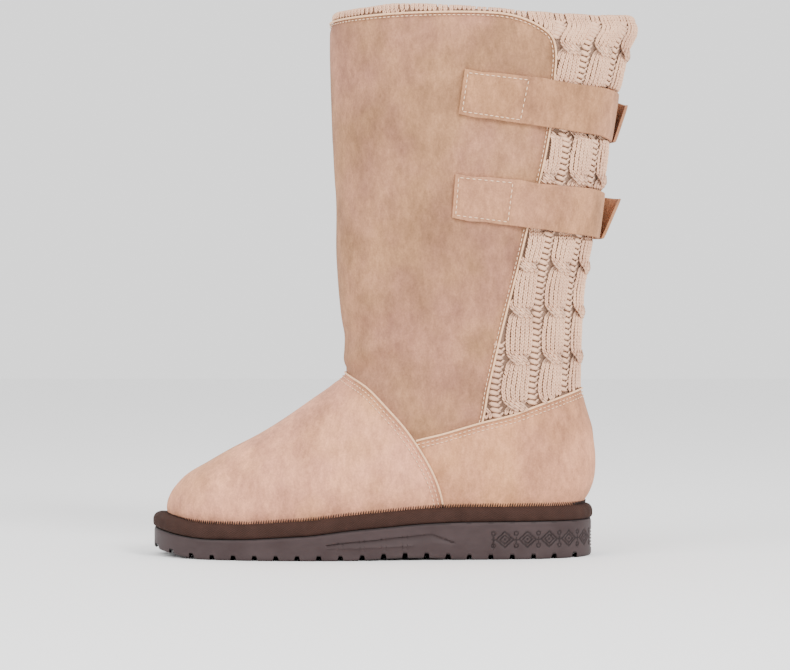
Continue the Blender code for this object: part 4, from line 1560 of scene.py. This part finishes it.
    def rungs(self) -> None:
        """Makes the ladders in the gutters: slanting rungs, each with a short bridge up to the next."""
        heights = self.heights(self.rung_pitch)
        heights = heights[heights < self.top - 0.003]
        arc, height = (item.ravel() for item in np.meshgrid(np.arange(-10, 11) * self.pitch, heights))
        arc = arc + self.shift
        keep = np.abs(arc) < self.half_length(height) - 0.004
        arc, height = arc[keep], height[keep]
        places = self.spot(arc, height)
        keep = self.kept(places[0], height)
        point, around, up, normal = (item[keep] for item in places)
        lobes = Lobes()
        centre = point - 0.0013 * around - 0.0014 * normal
        lobes.add(centre, unit(around - 0.28 * up), normal, *self.rung)
        lobes.add(centre + 0.0034 * around + 0.0008 * up, unit(around + 0.9 * up), normal, *self.bridge)
        dress(lobes.finish("knit_ladders", "yarn"), "knit")

    def ground(self) -> None:
        """Makes the sleeve's ground under the loops, with the rolled rim: a dark sheet whose colour is
        painted shade in the gaps between loops.
        """
        columns, rim_rows = 220, 16
        rim = np.linspace(self.top, self.top + self.rim_radius * math.pi + 0.010, rim_rows)
        heights = np.concatenate([np.arange(self.start - 0.005, self.top, 0.0022), rim])
        builder = bmesh.new()
        grid, values = [], []
        for height in heights:
            half = self.half_length(height)
            arc = np.linspace(-half, half, columns, endpoint=False)
            point, _, _, normal = self.spot(arc, np.full(columns, height))
            below = height < self.top - 0.001
            grid.append([builder.verts.new(spot) for spot in point - self.ground_sink * normal])
            values.append(SEAMS.in_knit(point[:, 0], point[:, 2]) if below else np.ones(columns))
        for row in range(len(grid) - 1):
            for column in range(columns):
                after = (column + 1) % columns
                corners = ((row, column), (row, after), (row + 1, after), (row + 1, column))
                if min(values[up][over] for up, over in corners) > -0.004:
                    builder.faces.new([grid[up][over] for up, over in corners])
        loose = [vert for vert in builder.verts if not vert.link_faces]
        bmesh.ops.delete(builder, geom=loose, context="VERTS")
        bmesh.ops.recalc_face_normals(builder, faces=builder.faces)
        collar = FORM.heel_thickness + FORM.upper_height
        rise = np.array([vert.co.z for vert in builder.verts]) - collar
        ease = smooth_step((rise + 0.009) / 0.006)
        ground = new_piece("knit_ground", builder, "yarn_shade_sheet")
        # Painted shade on the sheet: darker under the loops, lighter on the rolled rim.
        carry(ground, "depth", self.ground_shade + (self.rim_ground_shade - self.ground_shade) * ease)
        dress(ground, "knit", "knit_sleeve")


# Straps


@dataclass
class Strap:
    """One suede strap, with its sewn box, its run round the back and, on the inner side, a free end."""

    row: StrapRow
    side: Side
    width: float = 0.0275
    thickness: float = 0.0022
    stand_off: float = 0.0013
    clearance: float = 0.0003
    overlap: float = 0.0300
    sewn_to_free: float = 0.014
    step: float = 0.0011
    rounding: float = 0.0009
    crown: float = 0.00035
    tremor: float = 0.00018
    dip_depth: float = 0.00045
    dip_width: float = 0.0008
    stitch_inset: float = 0.0021
    stitch_pitch: float = 0.0032
    stitch_length: float = 0.0022
    stitch_width: float = 0.00075
    stitch_height: float = 0.0007

    def __post_init__(self) -> None:
        """Finds the strap's turns at both ends and measures its length."""
        leg = 14  # the first section whose ring lies level
        self.rises = np.array([section.front_rise for section in SECTIONS[leg:]])
        self.levels = np.arange(leg, len(SECTIONS), dtype=float)
        self.past = self.overlap / (FORM.ball_width * SECTIONS[-1].half_width)
        start = FORM.world_x(self.row.front * FORM.sole_length)
        level = np.interp([self.row.front_rise], self.rises, self.levels)
        front, back = (FORM.skin(level, np.array([turn]))[0, 0] for turn in (0.0, math.pi))
        self.first = math.acos(1 - 2 * (start - front) / (back - front))
        last = math.pi if self.side is Side.INNER else math.pi + self.past
        self.turns = np.linspace(self.first, last, 160)
        self.run = distances(self.at_turn(self.turns, 0.0, 0.0))
        self.length = self.run[-1]

    def rise(self, turn: Array) -> Array:
        """Share of the upper's height at the strap's middle."""
        row = self.row
        reach = np.minimum(1.0, (turn - self.first) / (math.pi - self.first))
        rise = row.front_rise + (row.back_rise - row.front_rise) * np.sin(reach * math.pi / 2)
        return rise + (row.front_rise - row.back_rise) * np.maximum(turn - math.pi, 0.0) * 0.1

    def at_turn(self, turn: Array, across: Array | float, out: Array | float) -> Array:
        """A place on the strap, straight from edge to edge.

        Args:
            turn: the angle round the shaft.
            across: -1 at the bottom edge, 1 at the top edge.
            out: distance out from the strap's inner face.
        Returns:
            Points.
        """
        row = self.row
        reach = np.clip((turn - self.first) / (math.pi - self.first), 0.0, 1.0)
        run = reach * (1.0 - row.front) * FORM.sole_length
        loose = smooth_step((run - row.box * 0.5) / self.sewn_to_free)
        lift = self.clearance + (self.stand_off - self.clearance) * loose
        free = np.zeros_like(turn)
        if self.side is Side.INNER:
            over = smooth_step((turn - (math.pi - self.past * 1.6)) / (self.past * 0.5))
            lift = lift + over * (self.thickness + self.clearance)
            free = smooth_step((turn - (math.pi - self.past * 0.9)) / (self.past * 0.9))
        edges = []
        for edge, stand in ((1, row.top_lift), (-1, row.bottom_lift)):
            cut = free * row.drop if edge > 0 else 0.0
            rise = self.rise(turn) + (edge * self.width / 2 - cut) / FORM.upper_height
            level = np.interp(rise, self.rises, self.levels)
            point, _, _, normal = FORM.axes(level, turn * self.side.value)
            level_out = unit(normal * np.array([1, 1, 0]))
            edges.append(point + (lift + free * stand + out)[..., None] * level_out)
        share = (np.asarray(across)[..., None] + 1) / 2 if np.ndim(across) else (across + 1) / 2
        return edges[0] * share + edges[1] * (1 - share)

    def place(self, run: Array, across: Array, out: Array) -> Array:
        """The same, by distance from the strap's front end."""
        return self.at_turn(np.interp(run, self.run, self.turns), across, out)

    def profile(self) -> list[tuple[float, float]]:
        """Cross-section as (across, out) pairs: a soft crown and rounded edges."""
        edge, thick = self.rounding / (self.width / 2), self.thickness
        top = [(a, thick - self.crown * abs(a) ** 6) for a in np.linspace(1 - edge, -1 + edge, 15)]
        low = [(a, 0.0) for a in np.linspace(-1 + edge * 0.6, 1 - edge * 0.6, 5)]
        left = [(-1 + edge * 0.3, thick * 0.86), (-1, thick * 0.5), (-1 + edge * 0.2, 0.0003)]
        right = [(-across, out) for across, out in reversed(left)]
        return [*top, *left, *low, *right]

    def dip(self, run: Array, across: float) -> Array:
        """How far the strap's face is pulled in by its rows of stitches.

        Args:
            run: distances from the strap's front end.
            across: -1 at the bottom edge, 1 at the top edge.
        Returns:
            Depths in metres.
        """
        half, inset, box = self.width / 2, self.stitch_inset, self.row.box
        inside = (run > inset * 0.6) & (run < box - inset * 0.6)
        sides = np.exp(-(((abs(across) * half - (half - inset)) / self.dip_width) ** 2)) * inside
        ends = sum(np.exp(-(((run - at) / self.dip_width) ** 2)) for at in (inset, box - inset))
        return self.dip_depth * np.maximum(sides, ends)

    def build(self, stitches: Lobes) -> bpy.types.Object:
        """Makes the strap and adds its stitches.

        Args:
            stitches: the lobes that every strap's stitches join.
        Returns:
            The strap.
        """
        runs = np.linspace(0, self.length, int(self.length / self.step))
        random = np.random.default_rng(SEED + len(self.row.name) + self.side.value)
        waves = random.normal(0, 1, 16)
        tremor = self.tremor * np.interp(runs, np.linspace(0, self.length, len(waves)), waves)
        ease = 1 - 0.35 * np.exp(-runs / 0.0006) - 0.35 * np.exp(-(self.length - runs) / 0.0006)
        builder = bmesh.new()
        lines = []
        for across, out in self.profile():
            dip = self.dip(runs, across) if out > self.thickness * 0.6 else 0.0
            out_line = out * np.where(out > 0.0005, ease, 1.0) - dip
            points = self.place(runs, np.full_like(runs, across), out_line)
            points[:, 2] += tremor
            lines.append([builder.verts.new(point) for point in points])
        for low, high in zip(lines, [*lines[1:], lines[0]]):
            web(builder, low, high)
        for end in (0, -1):
            cap = builder.faces.new([line[end] for line in lines])
            bmesh.ops.triangulate(builder, faces=[cap])
        bmesh.ops.recalc_face_normals(builder, faces=builder.faces)
        word = self.side.name.lower()
        piece = new_piece(f"{word}_strap_{self.row.name}_suede", builder, "strap", 50.0)
        self.sew(stitches)
        return dress(piece, "suede", f"{word}_strap_{self.row.name}")

    def sew(self, stitches: Lobes) -> None:
        """Adds the stitches of the sewn box.

        Args:
            stitches: the lobes that they join.
        """
        half = self.width / 2
        near, far, edge = self.stitch_inset, self.row.box - self.stitch_inset, 1 - self.stitch_inset / half
        corners = ((near, edge), (far, edge), (far, -edge), (near, -edge), (near, edge))
        for (run_a, across_a), (run_b, across_b) in zip(corners, corners[1:]):
            length = math.hypot(run_b - run_a, (across_b - across_a) * half)
            count = max(int(length / self.stitch_pitch), 1)
            t = (np.arange(count) + 0.5) / count
            run, across = run_a + (run_b - run_a) * t, across_a + (across_b - across_a) * t
            out = np.full(count, self.thickness - 0.00012)
            centre = self.place(run, across, out)
            ahead = self.place(run + (run_b - run_a) * 0.01, across + (across_b - across_a) * 0.01, out)
            normal = self.place(run, across, out + 0.001) - centre
            stitches.add(
                centre, ahead - centre, normal, self.stitch_length, self.stitch_width, self.stitch_height
            )


def strap_press(straps: Sequence[Strap], point: Array) -> Array:
    """How much the knit is pressed flat under the straps.

    Args:
        straps: the straps.
        point: places on the knit.
    Returns:
        Shares from 0 to 1.
    """
    press = np.zeros(len(point))
    for strap in straps:
        back = FORM.heel_thickness + strap.row.back_rise * FORM.upper_height
        front = FORM.heel_thickness + strap.row.front_rise * FORM.upper_height
        share = np.clip((point[:, 0] - FORM.world_x(strap.row.front * FORM.sole_length)) / 0.09, 0.0, 1.0)
        middle = front + (back - front) * np.sin(share * math.pi / 2)
        away = np.abs(point[:, 2] - middle) - strap.width / 2
        press = np.maximum(press, 1 - smooth_step((away + 0.0005) / 0.004))
    return press


# Sole, band, insole and lining


def sole_turns(step: float) -> Array:
    """Turns from toe to heel whose places are about a step apart on either side of the sole.

    Args:
        step: distance between places.
    Returns:
        Rising turns, from 0 to pi.
    """
    fine = np.linspace(0, math.pi, 4000)
    sides = (np.linalg.norm(np.diff(FORM.sole_point(way * fine), axis=0), axis=1) for way in (1, -1))
    along = np.concatenate([[0], np.cumsum(np.maximum(*sides))])
    return np.interp(np.linspace(0, along[-1], int(along[-1] / step)), along, fine)


def all_round(half: Array) -> Array:
    """Turns right round the foot from those of one side."""
    return np.concatenate([half, -half[-2:0:-1]])


@dataclass
class WeltBand:
    """The dark woven band over the joint of upper and sole, with whip stitches on its top edge."""

    height: float = 0.0090
    proud: float = 0.0008
    rounding: float = 0.0044
    low_rounding: float = 0.0026
    step: float = 0.0011
    uv_scale: float = 100.0
    stitch_pitch: float = 0.0016
    stitch_level: float = 1.05
    stitch_lift: float = 0.0004
    stitch_lean: float = 0.25
    stitch_size: tuple[float, float, float] = (0.0034, 0.0007, 0.0009)

    def section(self, turn: Array) -> Array:
        """Cross-sections from the ledge outwards, up, over the top and down inside.

        Args:
            turn: where the sections stand.
        Returns:
            An array of turns by corners by (x, y, z).
        """
        outer = FORM.sole_point(turn, -self.proud)
        wall, neck = (FORM.axes(np.full_like(turn, level), turn)[0][:, :2] for level in (0.0, 1.0))
        bottom = FORM.ledge_height(FORM.share_at(outer[:, 0])) + 0.0002
        top = bottom + self.height
        count = np.arange(len(turn))
        ripple = 0.00012 * np.sin(count * 0.9) + 0.00010 * np.sin(count * 0.23)
        inward = FORM.sole_point(turn, 0.004) - FORM.sole_point(turn, 0.0)
        inward /= np.linalg.norm(inward, axis=1, keepdims=True)
        low, high = self.low_rounding, self.rounding
        corners = [
            (low * (1 - math.cos(sweep)), bottom + low * (1 + math.sin(sweep)))
            for sweep in np.radians(np.linspace(-90, 0, 5))
        ]
        corners += [
            (high * (1 - math.cos(sweep)), top - high + high * math.sin(sweep))
            for sweep in np.radians(np.linspace(0, 90, 8))
        ]
        points = [np.column_stack([outer + (inset + ripple)[:, None] * inward, z]) for inset, z in corners]
        reach = np.einsum("ij,ij->i", neck - 0.0002 * inward - outer, inward)
        reach = np.maximum(reach, high + 0.0004)
        for inset, z in (((high + reach) / 2, top - 0.0001), (reach, top - 0.0005)):
            points.append(np.column_stack([outer + inset[:, None] * inward, z]))
        points += [np.column_stack([wall, z]) for z in ((bottom + top) / 2, bottom)]
        return np.stack(points, axis=1)

    def build(self) -> None:
        """Makes the band and its whip stitches."""
        turn = all_round(sole_turns(self.step))
        section = self.section(turn)
        along = distances(section[:, 6])
        around = distances(section[40])
        around = np.append(around, around[-1] + 0.001)
        builder = bmesh.new()
        layer = builder.loops.layers.uv.new("cloth")
        grid = [[builder.verts.new(point) for point in ring] for ring in section]
        corners = len(grid[0])
        for ring, after, start in zip(grid, [*grid[1:], grid[0]], along):
            for corner in range(corners):
                up = (corner + 1) % corners
                face = builder.faces.new((ring[corner], after[corner], after[up], ring[up]))
                low, high, end = around[corner], around[corner + 1], start + self.step
                for loop, uv in zip(face.loops, ((start, low), (end, low), (end, high), (start, high))):
                    loop[layer].uv = (uv[0] * self.uv_scale, uv[1] * self.uv_scale)
        bmesh.ops.recalc_face_normals(builder, faces=builder.faces)
        dress(new_piece("welt_band_cloth", builder, "band", 50.0), "band_cloth", "welt_band")
        self.whip(turn, along)

    def whip(self, turn: Array, along: Array) -> None:
        """Short upright stitches from the band's top edge onto the upper.

        Args:
            turn: turns round the band.
            along: the distance round it at each.
        """
        at = np.interp(np.arange(0.0, along[-1], self.stitch_pitch), along, np.unwrap(turn))
        point, around, up, normal = FORM.axes(np.full_like(at, self.stitch_level), at)
        lobes = small_lobes()
        lean = unit(up + self.stitch_lean * around)
        lobes.add(point + self.stitch_lift * normal, lean, normal, *self.stitch_size)
        dress(lobes.finish("welt_whip_stitches", "band_thread"), "band_cloth")


def mark(distance: Array, width: float) -> Array:
    """Share of a drawn line's depth at a distance from its middle, both in ornament units."""
    return 1 - smooth_step((np.abs(distance) - width / 2) / 0.25)


@dataclass
class Outsole:
    """The moulded wedge sole: tread notches, side recess, ribs and a generic geometric ornament."""

    pitch: float = 0.0130
    notch_width: float = 0.0030
    notch_depth: float = 0.0030
    notch_reach: tuple[float, float] = (-0.2290, 0.0435)
    tip_notch: float = -0.2251
    edge_round: float = 0.0018
    recess_depth: float = 0.0010
    rib_pitch: float = 0.0021
    rib_depth: float = 0.0009
    rib_reach: float = 0.0100
    seam_depth: float = 0.0005
    line_depth: float = 0.00045
    motif_pitch: float = 0.0140
    motif_first: float = 0.0120
    motif_scale: float = 0.00112
    motifs: int = 5
    band_middle: float = 0.0122
    rows: int = 34
    step: float = 0.0006

    def notch(self, x: Array) -> Array:
        """How deep a tread groove is at an X.

        Args:
            x: positions along the foot.
        Returns:
            Depths in metres.
        """
        offset = np.abs((x / self.pitch) % 1.0 - 0.5) * self.pitch
        offset = np.where(x < self.tip_notch + 0.0045, np.abs(x - self.tip_notch), offset)
        inside = (x > self.notch_reach[0]) & (x < self.notch_reach[1])
        wall = smooth_step((offset - self.notch_width * 0.38) / (self.notch_width * 0.24))
        return self.notch_depth * (1 - wall) * inside

    def recess(self, x: Array, z: Array) -> Array:
        """Share of the side recess's depth: a long wedge that is sharp above and fades below.

        Args:
            x: positions along the foot.
            z: heights.
        Returns:
            Shares, negative on the raised lip.
        """
        share = FORM.share_at(x)
        rows = np.array(RECESS)
        lower, upper = (np.interp(share, rows[:, 0], rows[:, column]) for column in (1, 2))
        rise = (z - lower) / np.maximum(upper - lower, 1e-4)
        inside = (share > rows[0, 0]) & (share < rows[-1, 0])
        dip = smooth_step((rise + 0.02) / 0.9) * (1 - smooth_step((rise - 0.96) / 0.10))
        lip = np.exp(-(((z - lower + 0.0003) / 0.0005) ** 2)) * (share < 0.59)
        return (dip - 0.5 * lip) * inside

    def ornament(self, along: Array, z: Array) -> Array:
        """Share of the ornament's depth: lozenges with a stud, between crossed bars and rings.

        Args:
            along: distance round the heel from its back, in metres.
            z: height.
        Returns:
            Values from 0 to 1.
        """
        from_first = np.abs(along) - self.motif_first
        cell = np.floor(from_first / self.motif_pitch)
        u = (from_first - (cell + 0.5) * self.motif_pitch) / self.motif_scale
        w = (z - self.band_middle) / self.motif_scale
        side = np.abs(u) - self.motif_pitch / 2 / self.motif_scale
        lozenge = np.abs(u) / 5.2 + np.abs(w) / 4.6
        marks = [
            mark((lozenge - 0.92) * 3.4, 0.55),
            mark((lozenge - 0.52) * 3.4, 0.45),
            mark(np.hypot(u, w), 1.0),
            *(mark(np.hypot(side, w - height) - 1.05, 0.42) for height in (-3.3, 3.3)),
            mark(side, 0.45) * mark(w, 3.0),
            mark(w, 0.45) * mark(side, 2.6),
        ]
        reach = (from_first > -0.0014) & (from_first < self.motifs * self.motif_pitch + 0.0014)
        return np.clip(sum(marks), 0.0, 1.0) * reach * (np.abs(w) < 5.4)

    def build(self) -> None:
        """Makes the sole: rings from the tread to the ledge, closed above and below."""
        half = sole_turns(self.step)
        turn = all_round(half)
        base = FORM.sole_point(turn)
        x, share = base[:, 0], FORM.share_at(base[:, 0])
        run = distances(base)
        from_heel = run - run[len(half) - 1]
        tread, high = FORM.tread_height(share), FORM.ledge_height(share)
        groove = self.notch(x)
        low = tread + groove
        inward = FORM.sole_point(turn, 1.0) - base
        builder = bmesh.new()
        layer = builder.verts.layers.float.new("groove")
        rings = []
        for part in (0.0, 0.02, 0.06, *np.linspace(0.11, 1.0, self.rows - 3)):
            z = low + part * (high - low)
            lift = np.clip((z - tread) / self.edge_round, 0, 1)
            rounding = self.edge_round * (1 - np.sqrt(1 - (1 - lift) ** 2)) * 0.8
            recess, lines = self.recess(x, z), self.ornament(from_heel, z)
            ribs = np.maximum(np.cos((z - 0.003) / self.rib_pitch * 2 * math.pi), 0.0) ** 2
            ribs *= smooth_step((self.rib_reach - np.abs(from_heel)) / 0.002) * (z > 0.0040) * (z < 0.0155)
            seam = self.seam_depth * np.exp(-(((high - z) / 0.0009) ** 2))
            inset = rounding + recess * self.recess_depth + lines * self.line_depth
            inset = inset + ribs * self.rib_depth + seam
            # Painted shade for the rubber: darker in the ornament's lines, the ribs, the recess, the seam
            # line under the ledge and the floors of the tread notches.
            dark = np.clip(lines * 0.9 + ribs * 0.8 + recess * 0.20 + 0.8 * (seam > 0.0003), 0, 1)
            dark = np.maximum(dark, 0.9 * (groove > 0.0012) * (part < 0.03))
            ring = []
            for point, shade in zip(np.column_stack([base + inset[:, None] * inward, z]), dark):
                ring.append(builder.verts.new(point))
                ring[-1][layer] = float(shade)
            rings.append(ring)
        for below, above in zip(rings, rings[1:]):
            web(builder, below, above, closed=True)
        self.cap(builder, rings[0], 8, layer, tread)
        self.cap(builder, rings[-1], 2, layer, tread)
        bmesh.ops.recalc_face_normals(builder, faces=builder.faces)
        dress(new_piece("outsole_rubber", builder, "rubber", 45.0), "sole_rubber", "outsole")

    @staticmethod
    def cap(
        builder: bmesh.types.BMesh,
        ring: Sequence,
        strips: int,
        layer: bmesh.types.BMLayerItem,
        tread: Array,
    ) -> None:
        """Closes a ring with rows straight across the foot.

        Args:
            builder: the mesh.
            ring: the ring's vertices, from the toe round the heel and back.
            strips: number of strips from side to side.
            layer: the attribute of painted shade that darkens grooves.
            tread: height of the underside at each vertex.
        """
        rows = []
        for at in range(len(ring) // 2 + 1):
            left, right = ring[at], ring[-at]
            if left is right:
                rows.append([left])
                continue
            middle = []
            for strip in range(1, strips):
                vert = builder.verts.new(left.co.lerp(right.co, strip / strips))
                # Painted shade across the caps: dark in the tread notches, slight elsewhere.
                vert[layer] = 0.9 if left.co.z - tread[at] > 0.0008 and strips > 2 else 0.15
                middle.append(vert)
            rows.append([left, *middle, right])
        for low, high in zip(rows, rows[1:]):
            if len(low) == len(high):
                web(builder, low, high)
                continue
            tip, line = (low[0], high) if len(low) == 1 else (high[0], low)
            for pair in zip(line, line[1:]):
                builder.faces.new((tip, *pair))


@dataclass
class Lining:
    """The fleece lining, a thick soft wall inside the upper, and the fleece insole."""

    outer: float = 0.0031
    inner: float = 0.0056
    rim_thinning: float = 0.0014
    pile: float = 0.0009
    step: float = 0.0026
    turns: int = 230
    top: float = 0.3315
    insole_inset: float = 0.0060
    insole_thickness: float = 0.0040
    insole_gap: float = 0.0004
    insole_edge: float = 0.0012
    insole_rows: int = 118
    insole_columns: int = 30

    def curls(self, point: Array) -> Array:
        """Height of the soft lumps of pile at places."""
        x, y, z = point[..., 0], point[..., 1], point[..., 2]
        wave = np.sin(x * 940 + 2 * np.sin(z * 530)) * np.sin(z * 880 + 2 * np.sin(y * 610))
        return self.pile * (0.5 + 0.5 * wave * np.sin(y * 760 + x * 300))

    def build(self) -> None:
        """Makes the lining's wall and the insole."""
        levels, turns = upper_grid(self.step, self.turns)
        low = FORM.skin(levels, np.zeros_like(levels))[:, 2] < self.top
        level, turn = np.meshgrid(levels[low], turns, indexing="ij")
        point, _, _, normal = FORM.axes(level, turn)
        thin = self.rim_thinning * smooth_step((point[..., 2] - self.top + 0.012) / 0.006)
        inside = point - (self.inner - thin + self.curls(point))[..., None] * normal
        outside = point - self.outer * normal
        builder = bmesh.new()
        walls = []
        for wall in (inside, outside):
            wall[..., 2] -= FORM.rim_drop(point[..., 2], turn)
            verts = [[builder.verts.new(spot) for spot in row] for row in wall]
            for below, above in zip(verts, verts[1:]):
                web(builder, below, above, closed=True)
            walls.append(verts)
        for rim in (0, -1):
            web(builder, walls[0][rim], walls[1][rim], closed=True)
        bmesh.ops.recalc_face_normals(builder, faces=builder.faces)
        dress(new_piece("fleece_wall", builder, "fleece"), "fleece_lining", "upper")
        self.insole()

    def insole(self) -> None:
        """Makes the insole as rows straight across the foot."""
        share = np.linspace(0, 1, self.insole_columns)[:, None]
        edge = 1 - smooth_step(np.minimum(share, 1 - share)[:, 0] / 0.06)
        builder = bmesh.new()
        sheets = []
        for top in (True, False):
            rows = []
            for turn in np.linspace(0, math.pi, self.insole_rows + 2)[1:-1]:
                ends = []
                for side in Side:
                    point, _, _, normal = FORM.axes(np.array([0.0]), np.array([turn * side.value]))
                    ends.append((point - self.insole_inset * normal)[0])
                line = ends[0] * (1 - share) + ends[1] * share
                rise = self.insole_gap
                if top:
                    lumps = self.curls(line + np.array([0, 0, 0.01]))
                    rise = self.insole_thickness + 0.0003 + lumps - edge * self.insole_edge
                line[:, 2] = FORM.ledge_height(FORM.share_at(line[:, 0])) + rise
                rows.append([builder.verts.new(spot) for spot in line])
            for low, high in zip(rows, rows[1:]):
                web(builder, low, high)
            sheets.append(rows)
        web(builder, border(sheets[0]), border(sheets[1]), closed=True)
        bmesh.ops.recalc_face_normals(builder, faces=builder.faces)
        dress(new_piece("fleece_insole", builder, "fleece"), "insole_felt", "insole")


# Stage


@dataclass
class Studio:
    """Pale floor and air, two soft lights and the camera at the photo's angle."""

    paper: float = 0.93
    half_floor: float = 6.0
    air: float = 1.55
    aim: tuple[float, float, float] = (-0.07, 0.0, 0.14)
    low_aim: tuple[float, float, float] = (-0.07, 0.0, 0.12)
    eye: tuple[float, float, float] = (-0.0776, -1.5, 0.1363)
    lens: float = 109.8

    def build(self) -> None:
        """Sets up the studio."""
        self.floor()
        world = bpy.data.worlds.new("studio_air")
        world.use_nodes = True
        background = world.node_tree.nodes["Background"]
        background.inputs["Color"].default_value = (1.0, 1.0, 1.0, 1.0)
        background.inputs["Strength"].default_value = self.air
        bpy.context.scene.world = world
        self.light("key", (1.0, -1.4, 1.35), self.aim, 0.7, 40)
        self.light("fill", (-1.3, -1.1, 1.1), self.low_aim, 1.2, 20)
        self.camera()

    def floor(self) -> None:
        """Makes the floor of matt paper."""
        builder = bmesh.new()
        bmesh.ops.create_grid(builder, x_segments=1, y_segments=1, size=self.half_floor)
        mesh = bpy.data.meshes.new("studio_floor")
        builder.to_mesh(mesh)
        builder.free()
        bench = Bench("studio_paper", 0.9, specular=0.1)
        bench.shader.inputs["Base Color"].default_value = (self.paper, self.paper, self.paper, 1.0)
        mesh.materials.append(bench.material)
        floor = bpy.data.objects.new("studio_floor", mesh)
        bpy.context.scene.collection.objects.link(floor)

    @staticmethod
    def light(name: str, place: Sequence[float], aim: Sequence[float], size: float, power: float) -> None:
        """A soft square light.

        Args:
            name: its name.
            place: where it stands.
            aim: what it faces.
            size: its side.
            power: its power in watts.
        """
        light = bpy.data.lights.new(name, "AREA")
        light.size = size
        light.energy = power
        lamp = bpy.data.objects.new(name, light)
        lamp.location = place
        lamp.rotation_euler = (Vector(aim) - Vector(place)).to_track_quat("-Z", "Y").to_euler()
        bpy.context.scene.collection.objects.link(lamp)

    def camera(self) -> None:
        """Makes the camera, level and square to the boot's side."""
        camera = bpy.data.cameras.new("photo_camera")
        camera.lens = self.lens
        camera.sensor_width = 36.0
        camera.clip_end = 60.0
        viewer = bpy.data.objects.new("photo_camera", camera)
        viewer.location = self.eye
        viewer.rotation_euler = (math.radians(90), 0, 0)
        bpy.context.scene.collection.objects.link(viewer)
        bpy.context.scene.camera = viewer


def main() -> None:
    """Builds the boot from the sole up, then the studio."""
    Outsole().build()
    WeltBand().build()
    Lining().build()
    for look, node, inside, rows in (
        ("vamp", "vamp", SEAMS.in_vamp, ((0.0026, 1.0), (0.0052, 0.8))),
        ("counter", "heel_counter", SEAMS.in_counter, ((0.0024, 0.9), (0.0046, 0.7))),
        ("shaft", "shaft_panel", SEAMS.in_shaft, ((0.0018, 0.8),)),
    ):
        SuedePanel(f"{look}_suede", node, look, inside, rows).build()
    SeamWork().build()
    straps = [Strap(row, side) for row in STRAPS for side in Side]
    sewing = small_lobes()
    for strap in straps:
        strap.build(sewing)
    dress(sewing.finish("strap_stitches", "thread"), "suede")
    CableKnit(straps=straps).build()
    Studio().build()


if __name__ == "__main__":
    main()
